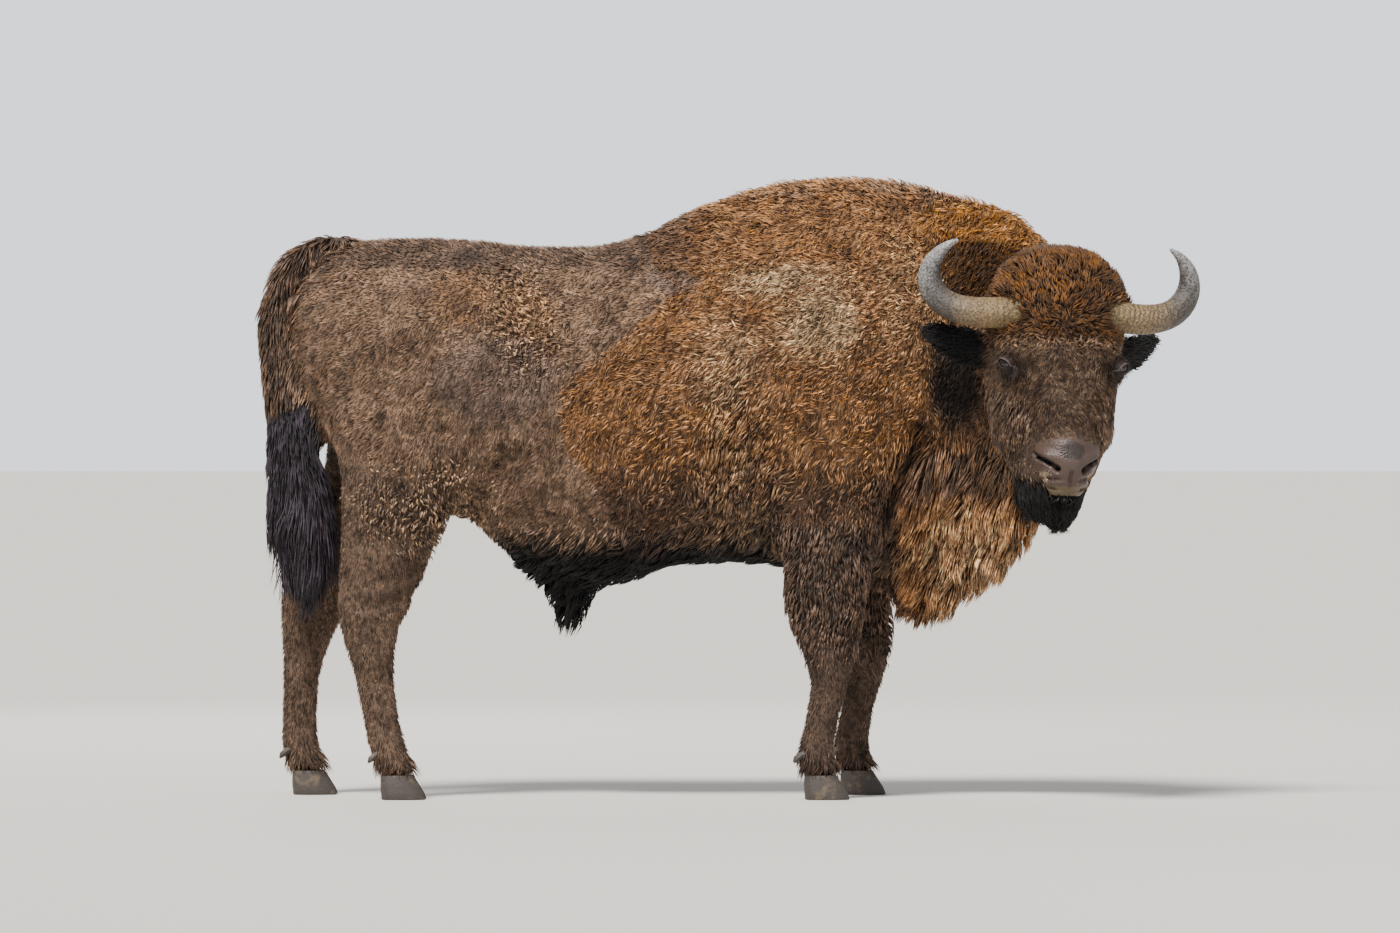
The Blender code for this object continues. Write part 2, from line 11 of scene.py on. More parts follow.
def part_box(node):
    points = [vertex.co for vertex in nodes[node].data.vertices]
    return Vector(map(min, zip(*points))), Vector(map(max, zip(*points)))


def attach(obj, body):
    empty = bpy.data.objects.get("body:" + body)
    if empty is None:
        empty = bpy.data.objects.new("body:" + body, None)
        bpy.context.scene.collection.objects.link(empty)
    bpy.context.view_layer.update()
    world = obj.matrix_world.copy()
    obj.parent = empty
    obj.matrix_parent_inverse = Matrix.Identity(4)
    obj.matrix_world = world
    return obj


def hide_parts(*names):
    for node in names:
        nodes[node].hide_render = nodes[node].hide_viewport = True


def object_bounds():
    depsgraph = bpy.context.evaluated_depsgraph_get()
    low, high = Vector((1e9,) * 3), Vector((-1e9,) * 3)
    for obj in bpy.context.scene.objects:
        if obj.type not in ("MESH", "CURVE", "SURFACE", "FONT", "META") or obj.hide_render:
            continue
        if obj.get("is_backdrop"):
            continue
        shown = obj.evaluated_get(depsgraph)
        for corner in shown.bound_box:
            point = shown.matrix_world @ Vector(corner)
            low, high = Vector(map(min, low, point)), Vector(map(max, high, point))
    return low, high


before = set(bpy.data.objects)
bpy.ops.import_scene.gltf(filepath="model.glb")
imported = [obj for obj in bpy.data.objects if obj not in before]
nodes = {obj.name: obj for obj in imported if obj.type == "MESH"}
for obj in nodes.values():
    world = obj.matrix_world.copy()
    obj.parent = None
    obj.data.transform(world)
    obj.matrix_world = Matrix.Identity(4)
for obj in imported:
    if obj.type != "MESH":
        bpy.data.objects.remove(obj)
cadLow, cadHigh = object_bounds()
sides = ("right", "left")
legs = ["leg_front_right", "leg_front_left", "leg_hind_right", "leg_hind_left"]
flesh = ["head", "neck", "trunk", *legs, "tail_dock", "tail_switch", "ear_right", "ear_left"]
length, height = cadHigh.x - cadLow.x, cadHigh.z
eyeAhead, eyeRise = 0.055, 0.002      # the eyes' middles, ahead of and above the head's own centre


# places on the animal, all from the frame's boxes
def middle(node):
    low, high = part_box(node)
    return (low + high) / 2


bodyMiddle = middle("trunk").y
eyeSpots = [middle("eye_" + side) for side in sides]
headLeft = (eyeSpots[1] - eyeSpots[0]).normalized()
headAhead = Vector((headLeft.y, -headLeft.x, 0)).normalized()
headUp = headAhead.cross(headLeft)
eyeSpread = (eyeSpots[1] - eyeSpots[0]).length / 2
headCentre = (eyeSpots[0] + eyeSpots[1]) / 2 - headAhead * eyeAhead - headUp * eyeRise
headAxes = np.array([headLeft, headAhead, headUp])


def inHead(points):
    # beside (left is plus), ahead and up, from the head's own centre
    return (points - np.array(headCentre)) @ headAxes.T


def fromHead(beside, ahead, up):
    return headCentre + headLeft * beside + headAhead * ahead + headUp * up


# small number tools
def ease(value, start, end):
    part = np.clip((value - start) / (end - start), 0, 1)
    return part * part * (3 - 2 * part)


def drift(points, size, seed):
    # smooth random field from -1 to 1, the same on every run
    cell = np.floor(points / size).astype(np.int64)
    part = points / size - cell
    part = part * part * (3 - 2 * part)
    total = np.zeros(len(points))
    for corner in itertools.product((0, 1), repeat=3):
        key = cell + np.array(corner)
        mixed = key[:, 0] * 73856093 ^ key[:, 1] * 19349663 ^ key[:, 2] * 83492791 ^ (seed * 7919 + 13)
        mixed = (mixed ^ (mixed >> 13)) * 1274126177
        value = ((mixed ^ (mixed >> 16)) & 65535) / 32767.5 - 1
        total += np.prod(np.where(corner, part, 1 - part), axis=1) * value
    return total


def unit(vectors):
    return vectors / np.maximum(np.linalg.norm(vectors, axis=1, keepdims=True), 1e-9)


def flatten(vectors, normals):
    # the part of each vector that lies along the surface
    return vectors - normals * np.sum(vectors * normals, axis=1, keepdims=True)


# materials
# a socket that takes arithmetic
class Wire:
    def __init__(self, look, socket):
        self.look, self.socket = look, socket

    def maths(self, operation, *values):
        return self.look.add("ShaderNodeMath", {"operation": operation}, dict(enumerate(values)))

    def __add__(self, other):
        return self.maths("ADD", self, other)

    def __sub__(self, other):
        return self.maths("SUBTRACT", self, other)

    def __rsub__(self, other):
        return self.maths("SUBTRACT", other, self)

    def __mul__(self, other):
        return self.maths("MULTIPLY", self, other)

    def __truediv__(self, other):
        return self.maths("DIVIDE", self, other)

    def __pow__(self, other):
        return self.maths("POWER", self, other)

    __radd__, __rmul__ = __add__, __mul__

    # 0 below start, 1 above end, smooth between
    def clear(self, start, end):
        return self.look.add("ShaderNodeMapRange", {"interpolation_type": "SMOOTHSTEP"},
                             {"Value": self, "From Min": start, "From Max": end})


class Look:
    def __init__(self, name, **fixed):
        self.material = bpy.data.materials.new(name)
        self.material.use_nodes = True
        self.tree = self.material.node_tree
        self.surface = self.tree.nodes["Principled BSDF"]
        for socket, value in fixed.items():
            self.surface.inputs[socket.replace("_", " ")].default_value = value

    def plug(self, socket, value):
        if isinstance(value, Wire):
            self.tree.links.new(value.socket, socket)
        else:
            socket.default_value = value

    def add(self, kind, settings=None, values=None, output=0):
        node = self.tree.nodes.new(kind)
        for name, value in (settings or {}).items():
            if name == "stops":
                ramp = node.color_ramp
                while len(ramp.elements) < len(value):
                    ramp.elements.new(0.5)
                for element, (place, colour) in zip(ramp.elements, value):
                    element.position, element.color = place, colour
            else:
                setattr(node, name, value)
        for name, value in (values or {}).items():
            self.plug(node.inputs[name], value)
        return Wire(self, node.outputs[output])

    def spot(self):
        return self.add("ShaderNodeTexCoord", output=3)

    def noise(self, size, detail=3.0, vector=None, rough=0.55):
        return self.add("ShaderNodeTexNoise", None, {"Vector": vector or self.spot(), "Scale": 1 / size,
                                                     "Detail": detail, "Roughness": rough})

    def stretch(self, x, y, z):
        return self.add("ShaderNodeMapping", None, {"Vector": self.spot(), "Scale": (x, y, z)})

    def kept(self, name):
        # a vector attribute as its three numbers
        vector = self.add("ShaderNodeAttribute", {"attribute_name": name}, output=1)
        split = self.add("ShaderNodeSeparateXYZ", None, {0: vector}).socket.node
        return [Wire(self, socket) for socket in split.outputs]

    def mix(self, amount, one, two, way="MIX"):
        return self.add("ShaderNodeMix", {"data_type": "RGBA", "blend_type": way},
                        {0: amount, 6: one, 7: two}, output=2)

    def finish(self, colour=None, rough=None, bump=None, depth=0.002, strength=1.0):
        if colour is not None:
            self.plug(self.surface.inputs["Base Color"], colour)
        if rough is not None:
            self.plug(self.surface.inputs["Roughness"], rough)
        if bump is not None:
            normal = self.add("ShaderNodeBump", None, {"Height": bump, "Distance": depth,
                                                       "Strength": strength})
            self.plug(self.surface.inputs["Normal"], normal)
        return self.material


def tint(red, green, blue):
    # a screen colour as the shader's own numbers
    return (*(((c / 255 + 0.055) / 1.055) ** 2.4 if c > 10 else c / 3295 for c in (red, green, blue)), 1.0)


# meshes
def piece(name, mesh, material, slot, hides=()):
    made = bpy.data.objects.new(name, mesh)
    bpy.context.scene.collection.objects.link(made)
    mesh.materials.clear()
    mesh.materials.append(material)
    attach(made, "root")
    if hides:
        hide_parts(*hides)
    return made


def mergedCopy(names, swell=0.0):
    shape = bmesh.new()
    for name in names:
        shape.from_mesh(nodes[name].data)
    bmesh.ops.remove_doubles(shape, verts=shape.verts, dist=1e-5)
    shape.normal_update()
    for vert in shape.verts:
        vert.co += vert.normal * swell
    mesh = bpy.data.meshes.new("copy")
    shape.to_mesh(mesh)
    shape.free()
    return mesh


def modified(mesh, *modifiers):
    # the mesh with these modifiers applied
    holder = bpy.data.objects.new("holder", mesh)
    bpy.context.scene.collection.objects.link(holder)
    for kind, settings in modifiers:
        modifier = holder.modifiers.new(kind, kind)
        for name, value in settings.items():
            setattr(modifier, name, value)
    graph = bpy.context.evaluated_depsgraph_get()
    made = bpy.data.meshes.new_from_object(holder.evaluated_get(graph))
    bpy.data.objects.remove(holder)
    return made


def coordinates(mesh):
    points = np.zeros(len(mesh.vertices) * 3)
    mesh.vertices.foreach_get("co", points)
    return points.reshape(-1, 3)


def normalsOf(mesh):
    normals = np.zeros(len(mesh.vertices) * 3)
    mesh.vertices.foreach_get("normal", normals)
    return normals.reshape(-1, 3)


def place(mesh, points):
    mesh.vertices.foreach_set("co", points.astype(np.float32).ravel())
    mesh.update()


def edgesOf(mesh):
    ends = np.zeros(len(mesh.edges) * 2, np.int32)
    mesh.edges.foreach_get("vertices", ends)
    return ends.reshape(-1, 2)


def spread(values, ends, rounds, share=0.5):
    # each vertex takes part of its neighbours' mean, rounds times over
    count = len(values)
    both = np.concatenate([ends, ends[:, ::-1]])
    number = np.maximum(np.bincount(both[:, 0], minlength=count), 1)
    values = values.reshape(count, -1).astype(float)
    for _ in range(rounds):
        means = np.stack([np.bincount(both[:, 0], values[both[:, 1], k], count) / number
                          for k in range(values.shape[1])], axis=1)
        values = values + (means - values) * np.reshape(share, (-1, 1) if np.ndim(share) else ())
    return values


def remember(mesh, name, values):
    attribute = mesh.attributes.new(name, "FLOAT_VECTOR", "POINT")
    attribute.data.foreach_set("vector", values.astype(np.float32).ravel())


# the skin: one surface over all the flesh
# its remesh size and the swell before it in metres, rounds of smoothing, and how many times the
# mesh is halved round the eyes and on the muzzle
skin = {"voxel": 0.0135, "swell": 0.0012, "evenOut": 10, "afterDepth": 3, "fine": 3}

print("skin")
skinMesh = modified(mergedCopy([*flesh, "eye_right", "eye_left"], skin["swell"]),
                    ("REMESH", {"mode": "VOXEL", "voxel_size": skin["voxel"]}))
shape = bmesh.new()
shape.from_mesh(skinMesh)
# bits that close off inside the animal go
shape.verts.ensure_lookup_table()
seen, groups = [False] * len(shape.verts), []
for vert in shape.verts:
    if seen[vert.index]:
        continue
    group, front = [], [vert]
    seen[vert.index] = True
    while front:
        here = front.pop()
        group.append(here)
        for edge in here.link_edges:
            other = edge.other_vert(here)
            if not seen[other.index]:
                seen[other.index] = True
                front.append(other)
    groups.append(group)
groups.sort(key=len)
print("closed bits", len(groups) - 1)
stray = [vert for group in groups[:-1] for vert in group]
if stray:
    bmesh.ops.delete(shape, geom=stray, context="VERTS")
shape.verts.ensure_lookup_table()
shape.to_mesh(skinMesh)
shape.free()

points = spread(coordinates(skinMesh), edgesOf(skinMesh), skin["evenOut"])
place(skinMesh, points)

# closer mesh round the eyes and on the muzzle
shape = bmesh.new()
shape.from_mesh(skinMesh)
for level in range(skin["fine"]):
    shape.verts.ensure_lookup_table()
    where = inHead(np.array([v.co for v in shape.verts]))
    folded = np.abs(where) * (1, 0, 0) + where * (0, 1, 1)
    besideEye = np.linalg.norm(folded - (eyeSpread, eyeAhead, -0.012), axis=1)
    nearEye = besideEye < 0.066 - 0.014 * level
    nearNose = (where[:, 2] < -0.19 + 0.01 * level) & (where[:, 2] > -0.40) & (np.abs(where[:, 0]) < 0.14)
    wanted = nearEye | nearNose & (where[:, 1] > 0.12 + 0.02 * level) & (level < 2)
    edges = [e for e in shape.edges if wanted[e.verts[0].index] and wanted[e.verts[1].index]]
    bmesh.ops.subdivide_edges(shape, edges=edges, cuts=1, use_grid_fill=True)
bmesh.ops.triangulate(shape, faces=[f for f in shape.faces if len(f.verts) > 4])
shape.verts.index_update()
shape.to_mesh(skinMesh)
shape.free()
skinEdges = edgesOf(skinMesh)
points = coordinates(skinMesh)
print("skin faces", len(skinMesh.polygons))

# which node each vertex came from, softened across the joins
corners, owners, tris = [], [], []
for number, name in enumerate(flesh):
    data = nodes[name].data
    data.calc_loop_triangles()
    base = len(corners)
    corners.extend(v.co.copy() for v in data.vertices)
    tris.extend(tuple(base + i for i in t.vertices) for t in data.loop_triangles)
    owners.extend([number] * len(data.loop_triangles))
tree = BVHTree.FromPolygons(corners, tris)
belongs = np.zeros((len(points), len(flesh)))
for index, point in enumerate(points):
    found = tree.find_nearest(Vector(point))
    belongs[index, owners[found[2]]] = 1
belongs = spread(belongs, skinEdges, 6)
of = {name: belongs[:, number] for number, name in enumerate(flesh)}
ears = of["ear_right"] + of["ear_left"]
legPart = sum(of[name] for name in legs)
forePart = of["leg_front_right"] + of["leg_front_left"]

# shares of the whole length and height, and metres from places given in them
u = (points[:, 0] - cadLow.x) / length
v = points[:, 2] / height
y = points[:, 1] - bodyMiddle
local = inHead(points)
beside, ahead, up = np.abs(local[:, 0]), local[:, 1], local[:, 2]
normals = normalsOf(skinMesh)
wobble = drift(points, 0.11, 1) * 0.6 + drift(points, 0.04, 2) * 0.4
body = of["trunk"] + of["neck"]


def patch(atU, atV, wide, tall, soft=0.5, lean=0.0, rough=0.35):
    # an uneven oval: its place in shares, its half sizes in metres
    along, rise = (u - atU) * length, (v - atV) * height
    along = along + rise * lean
    reach = np.hypot(along / wide, rise / tall) + wobble * rough
    return 1 - ease(reach, 1 - soft, 1 + soft)


# the back edge of the winter wool, from the belly up
woolEdge = {"v": [0.28, 0.38, 0.49, 0.57, 0.65, 0.735, 0.81, 0.86, 0.93],
            "u": [0.44, 0.412, 0.365, 0.325, 0.325, 0.385, 0.447, 0.425, 0.40]}
woolLine = np.interp(v, woolEdge["v"], woolEdge["u"]) * length
wool = ease((u * length - woolLine) + wobble * 0.035, -0.016, 0.016) * body
eyeAway = np.linalg.norm(np.stack([beside - eyeSpread, ahead - eyeAhead, up - eyeRise], 1), axis=1)
bareNose = (1 - ease(np.hypot(beside / 0.118, (up + 0.262) / 0.064), 0.85, 1.10)) * ease(ahead, 0.12, 0.17)
lips = (1 - ease(np.abs(up + 0.350), 0.020, 0.030)) * (1 - ease(beside, 0.065, 0.085))
lips *= ease(ahead, 0.14, 0.18)
philtrum = (1 - ease(beside, 0.018, 0.05)) * (1 - ease(np.abs(up + 0.31), 0.03, 0.045))
philtrum *= ease(ahead, 0.17, 0.2)
bareNose = np.maximum(bareNose, philtrum)
eyeBare = 1 - ease(eyeAway, 0.026, 0.040)
eyeDark = 1 - ease(eyeAway, 0.040, 0.085)

crown = of["head"] * ease(up, 0.03, 0.13) * ease(ahead, -0.24, -0.16)
beard = of["head"] * (1 - ease(up, -0.36, -0.31)) * (1 - lips)
jaw = of["head"] * ease(beside, 0.09, 0.15) * (1 - ease(up, -0.14, -0.04))
mane = body * ease(u, 0.655, 0.705) * (1 - ease(v, 0.50, 0.62))
belly = of["trunk"] * (1 - ease(v, 0.36, 0.46)) * (1 - ease(u, 0.62, 0.68))
brush = of["trunk"] * patch(0.340, 0.285, 0.12, 0.09, 0.3) * (1 - ease(np.abs(y), 0.05, 0.12))
foreShag = forePart * ease(v, 0.19, 0.30)
switch = of["tail_switch"]
hip = patch(0.2855, 0.7557, 0.11, 0.16) * of["trunk"]
elbow = patch(0.5126, 0.52, 0.12, 0.24, 0.4) * of["trunk"]
thighLocks = patch(0.175, 0.47, 0.17, 0.12, 0.5)
bare = np.maximum.reduce([patch(0.2588, 0.672, 0.17, 0.15), patch(0.2268, 0.865, 0.07, 0.03),
                          patch(0.4454, 0.83, 0.085, 0.04)]) * of["trunk"]
groove = patch(0.672, 0.45, 0.07, 0.16, 0.5) * ease(np.abs(y), 0.0, 0.1)


def crease(path, wide):
    # 1 on a line of places given in shares, 0 at wide metres from it
    spots = np.stack([u * length, v * height], 1)
    nearest = np.full(len(points), 9.0)
    for one, two in zip(path, path[1:]):
        a, b = np.array(one) * (length, height), np.array(two) * (length, height)
        share = np.clip(((spots - a) @ (b - a)) / ((b - a) @ (b - a)), 0, 1)
        nearest = np.minimum(nearest, np.linalg.norm(spots - a - share[:, None] * (b - a), axis=1))
    return 1 - ease(nearest, 0, wide)


# folds and swellings: a path in shares, half its width and its depth inward in metres, and where it
# counts
outer = ease(np.abs(y), 0.06, 0.14)
neckFold = [(0.7119, 0.5716), (0.6906, 0.5076), (0.6746, 0.4435), (0.6639, 0.38), (0.6693, 0.31)]
bodyFolds = [
    ([(0.2642, 0.5476), (0.2482, 0.5076), (0.2354, 0.4675), (0.2183, 0.4435)], 0.055, 0.030, outer),
    (neckFold, 0.06, 0.034, 1),
    ([(0.552, 0.5716), (0.5488, 0.4756), (0.5573, 0.3795)], 0.035, 0.014, outer),
    ([(0.475, 0.60), (0.472, 0.44)], 0.03, 0.007, outer),
    ([(0.505, 0.63), (0.503, 0.42)], 0.025, 0.007, outer),
    ([(0.28, 0.845), (0.30, 0.79)], 0.07, -0.018, outer),
    ([(0.10, 0.84), (0.075, 0.70), (0.095, 0.56)], 0.10, -0.008, outer),
    ([(0.165, 0.80), (0.15, 0.66), (0.20, 0.58)], 0.06, 0.012, outer)]
legFolds = [
    ([(0.108, 0.315), (0.125, 0.305), (0.176, 0.327)], 0.030, 0.010, legPart),
    ([(0.118, 0.345), (0.150, 0.350), (0.180, 0.365)], 0.022, 0.006, legPart),
    ([(0.133, 0.281), (0.156, 0.274)], 0.022, 0.007, legPart),
    ([(0.1331, 0.235), (0.1392, 0.094)], 0.020, 0.006, legPart),
    ([(0.040, 0.311), (0.062, 0.244)], 0.026, 0.007, legPart),
    ([(0.616, 0.185), (0.614, 0.160)], 0.050, -0.007, legPart),
    ([(0.600, 0.34), (0.612, 0.25)], 0.030, 0.007, legPart)]
relief = np.zeros(len(points))
for path, wide, inward, counts in bodyFolds:
    relief += crease(path, wide) * inward * counts
relief -= np.exp(-((u * length - woolLine - 0.05) / 0.04) ** 2) * 0.011 * of["trunk"] * outer
relief -= drift(points, 0.07, 5) * 0.006 * body + drift(points * (1, 1, 0.45), 0.035, 6) * 0.004 * wool
relief *= (1 - legPart * 0.6) * (1 - of["head"])
for path, wide, inward, counts in legFolds:
    relief += crease(path, wide) * inward * counts

# how deep the coat is in each region, in metres
deep = {"body": 0.011, "wool": 0.013, "hip": 0.006, "belly": 0.012, "bare": -0.006, "head": 0.011,
        "crown": 0.012, "beard": 0.014, "jaw": 0.008, "mane": 0.018, "leg": 0.007, "thigh": 0.012,
        "foreShag": 0.008, "ear": 0.005, "dock": 0.010, "switch": 0.018, "least": 0.0008, "most": 0.06}
depth = (deep["body"] + deep["wool"] * wool + deep["hip"] * hip + deep["belly"] * belly
         + deep["bare"] * bare * (1 - wool)) * body
depth += of["head"] * (deep["head"] + deep["crown"] * crown + deep["beard"] * beard + deep["jaw"] * jaw)
depth += mane * deep["mane"]
depth += legPart * (deep["leg"] + deep["thigh"] * ease(v, 0.25, 0.42)) + foreShag * deep["foreShag"]
depth += ears * deep["ear"] + of["tail_dock"] * deep["dock"] + switch * deep["switch"]
depth *= ease(points[:, 2], 0.068, 0.13) * 0.96 + 0.04      # thins out above the hooves
depth *= 1 - 0.75 * np.maximum(bareNose, lips)
for sign in (-1, 1):
    # and round the roots of the horns
    away = np.linalg.norm(local - (sign * 0.18, 0.012, 0.146), axis=1)
    depth *= 0.25 + 0.75 * ease(away, 0.05, 0.08)
depth = spread(np.clip(depth, deep["least"], deep["most"]), skinEdges, 4)[:, 0]
relief = spread(relief, skinEdges, 1)[:, 0]
points = points - normals * (depth + relief)[:, None]
points = spread(points, skinEdges, skin["afterDepth"], 0.4 * (1 - 0.8 * np.clip(eyeBare + bareNose, 0, 1)))
place(skinMesh, points)
normals = normalsOf(skinMesh)


# the face, worked like clay in the head's own directions
def stroke(beside0, ahead0, up0, sizes, push, both=True, power=2.0):
    # moves the skin round a place by push (beside, ahead, up), fading to nothing at the sizes
    global points
    for sign in ((1, -1) if both else (1,)):
        here = inHead(points)
        off = (here - (sign * beside0, ahead0, up0)) / np.array(sizes)
        weight = np.clip(1 - np.sum(off ** 2, axis=1), 0, 1) ** power
        points = points + weight[:, None] * (np.array([sign * push[0], push[1], push[2]]) @ headAxes)


def furrow(path, wide, push):
    # a groove or ridge along a path of places, on both sides; gives each vertex's share of it
    global points
    most = np.zeros(len(points))
    for sign in (1, -1):
        here = inHead(points)
        nearest = np.full(len(here), 9.0)
        for one, two in zip(path, path[1:]):
            a, b = np.array(one) * (sign, 1, 1), np.array(two) * (sign, 1, 1)
            share = np.clip(np.sum((here - a) * (b - a), axis=1) / np.sum((b - a) ** 2), 0, 1)
            nearest = np.minimum(nearest, np.linalg.norm(here - a - share[:, None] * (b - a), axis=1))
        weight = (1 - ease(nearest, 0, wide)) ** 1.5
        most = np.maximum(most, weight)
        points = points + weight[:, None] * (np.array([sign * push[0], push[1], push[2]]) @ headAxes)
    return most


# the lids: their thickness over the ball, half the slit's length and height, and how far they reach
face = {"lidThick": 0.0036, "slit": 0.0185, "open": 0.0098, "eyeReach": 0.052}
eyeOut, eyeSide = 0.785, 0.62          # each eye looks this far ahead and this far to its own side
eyeLow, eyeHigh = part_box("eye_right")
eyeRadius = (eyeHigh.x - eyeLow.x) / 2

print("face")
# muzzle: wings of the nose, nostrils, the pad's rim, lips
stroke(0.080, 0.215, -0.262, (0.055, 0.07, 0.036), (0.014, 0.010, 0.004))
stroke(0.070, 0.215, -0.305, (0.040, 0.05, 0.022), (0.004, 0.006, 0))
stroke(0.0, 0.235, -0.245, (0.045, 0.06, 0.030), (0, -0.004, -0.003), both=False)
nostril = furrow([(0.094, 0.175, -0.262), (0.078, 0.205, -0.268), (0.058, 0.225, -0.283),
                  (0.042, 0.23, -0.293)], 0.017, (-0.012, -0.026, 0.003))
wing = furrow([(0.104, 0.14, -0.246), (0.092, 0.18, -0.262), (0.076, 0.205, -0.272)],
              0.014, (-0.016, -0.006, 0))
nostril = np.maximum(nostril, wing)
furrow([(0.0, 0.24, -0.300), (0.0, 0.22, -0.340)], 0.012, (0, -0.005, 0))
furrow([(0.0, 0.20, -0.346), (0.045, 0.19, -0.347), (0.085, 0.15, -0.342)], 0.010, (0, -0.014, 0.001))
stroke(0.03, 0.20, -0.332, (0.05, 0.05, 0.012), (0, 0.004, 0))
stroke(0.03, 0.19, -0.362, (0.05, 0.05, 0.014), (0, 0.007, 0.002))
# eyes: the skin wraps each ball as lids, with an almond opening
stroke(0.165, 0.066, 0.040, (0.04, 0.045, 0.022), (0.004, 0.006, 0))
place(skinMesh, points)
here, facing = inHead(points), normalsOf(skinMesh) @ headAxes.T
lidRim, socket = np.zeros(len(points)), np.zeros(len(points))
for sign in (1, -1):
    ball = np.array([sign * eyeSpread, eyeAhead, eyeRise])
    outward = np.array([sign * eyeSide, eyeOut, 0.0])
    across = np.array([-sign * eyeOut, eyeSide, 0.0])      # towards the nose
    off = here - ball
    out, sideways, tall = off @ outward, off @ across, off[:, 2]
    flat = np.hypot(sideways, tall)
    near = (flat < face["eyeReach"]) & (out > -0.07) & (facing @ outward > 0.0)
    slit, rise = sideways * 0.90 - tall * 0.43, tall * 0.90 + sideways * 0.43
    opening = np.abs(rise) - face["open"] * np.sqrt(np.clip(1 - (slit / face["slit"]) ** 2, 0, 1))
    inside = opening < 0
    lidRadius = eyeRadius + face["lidThick"]
    dome = np.sqrt(np.clip(lidRadius ** 2 - flat ** 2, 0, 1))
    dome += 0.0018 * np.exp(-((opening - 0.0030) / 0.0028) ** 2)
    dome -= 0.0026 * np.exp(-((opening - 0.0095) / 0.0026) ** 2) * (rise > 0)
    pit = np.maximum(np.sqrt(np.clip((eyeRadius * 0.78) ** 2 - flat ** 2, 0, 1)), 0.002)
    share = ease(flat, lidRadius * 0.72, face["eyeReach"])
    lifted = np.where(inside, pit, dome * (1 - share) + out * share)
    here = np.where(near[:, None], ball + outward * lifted[:, None] + across * sideways[:, None]
                    + np.array([0.0, 0.0, 1.0]) * tall[:, None], here)
    lidRim = np.maximum(lidRim, np.exp(-((opening - 0.0030) / 0.0024) ** 2) * near * (rise > -0.001))
    socket = np.maximum(socket, (1 - ease(opening, -0.0004, 0.0014)) * near)
points = np.array(headCentre) + here @ headAxes
place(skinMesh, points)
normals = normalsOf(skinMesh)
local = inHead(points)
beside, ahead, up = np.abs(local[:, 0]), local[:, 1], local[:, 2]

# markings, with painted shade, painted shadow and painted highlights among them, shared by skin and coat:
# five sets of three
rear = of["trunk"] * (1 - wool)
rust = np.maximum.reduce([
    patch(0.600, 0.86, 0.62, 0.26, 0.3) * wool, patch(0.632, 0.64, 0.36, 0.40) * wool,
    patch(0.424, 0.63, 0.33, 0.36) * wool, mane * 0.85,
    patch(0.2215, 0.799, 0.12, 0.10) * 0.48 * of["trunk"], hip * 0.45])
gold = np.maximum.reduce([
    patch(0.776, 0.921, 0.20, 0.11, 0.6) * body, of["neck"] * ease(v, 0.5, 0.7) * 0.4,
    patch(0.80, 0.825, 0.08, 0.06, 0.6) * crown * 0.8, patch(0.90, 0.85, 0.08, 0.06, 0.6) * crown * 0.8,
    elbow * 0.45 + thighLocks * 0.30 * of["leg_hind_right"]])
pale = np.maximum.reduce([
    patch(0.600, 0.772, 0.12, 0.12, 0.6) * wool, patch(0.504, 0.700, 0.10, 0.13, 0.6) * 0.6 * wool,
    patch(0.555, 0.83, 0.14, 0.05, 0.6) * wool, patch(0.70, 0.80, 0.10, 0.16, 0.6) * 0.45 * wool,
    mane * patch(0.755, 0.40, 0.14, 0.14, 0.6) * 0.55])
dark = np.maximum.reduce([
    # in this sum, groove is painted shadow between neck and shoulder, and belly is painted shade under the
    # body
    np.clip(belly * 0.9 + forePart * 0.85 + (legPart - forePart) * 0.62 + groove * 0.9
            + of["tail_dock"] * 0.8 + of["head"] * (1 - crown) * (0.74 + 0.25 * jaw), 0, 1),
    wool * (1 - ease(v, 0.48, 0.60)) * (1 - mane) * 0.75, mane * ease(v, 0.44, 0.54) * 0.98,
    # the neck patch at the end of the next line is painted shadow behind the ear, between cheek and neck
    mane * (1 - ease(v, 0.28, 0.34)) * 0.5, patch(0.745, 0.655, 0.12, 0.15, 0.6) * of["neck"] * 0.8,
    elbow * 0.5, of["trunk"] * ease(v, 0.825, 0.86) * (1 - ease(u, 0.44, 0.52)) * 0.7,
    # painted shade under the body, on the low trunk and neck
    body * (1 - ease(v, 0.36, 0.47)) * (1 - ease(u, 0.62, 0.68)) * 0.95])
grey = np.clip(bare + of["head"] * (1 - crown) * ease(up, -0.30, -0.05) * 0.25 + switch, 0, 1)
olive = np.maximum(crown * ease(up, 0.00, 0.12), patch(0.765, 0.835, 0.15, 0.12) * of["neck"])
faceInk = np.clip(beard * 1.1 + ears + jaw * (1 - ease(up, -0.34, -0.2)) * 0.7, 0, 1)
ink = np.maximum.reduce([
    # belly in this sum is painted shade under the body
    np.clip(faceInk + switch + eyeDark * 0.50 + belly * 0.84, 0, 1),
    # painted shadow along the fold between neck and shoulder
    crease([(0.7119, 0.60), *neckFold[1:4]], 0.05) * 0.60 * body,
    # painted shadow behind the ear, between cheek and neck
    patch(0.742, 0.665, 0.060, 0.12, 0.6) * body * 0.62,
    # the low body term is painted shade under the body
    body * (1 - ease(v, 0.33, 0.42)) * (1 - ease(u, 0.60, 0.66)) * 0.58, forePart * 0.05])
nude = np.clip(np.maximum(bareNose, lips), 0, 1)
lipMark = lips * (1 - ease(up, -0.345, -0.332))
whisker = np.exp(-((beside - 0.075) / 0.028) ** 2 - ((up + 0.318) / 0.026) ** 2) * ease(ahead, 0.12, 0.17)
# painted shadow in the trough below the inner corner of each eye
troughShadow = np.exp(-((beside - 0.150) / 0.016) ** 2 - ((up + 0.035) / 0.035) ** 2) * ease(ahead, 0.03, 0.06)
whisker, troughShadow = of["head"] * whisker, of["head"] * troughShadow
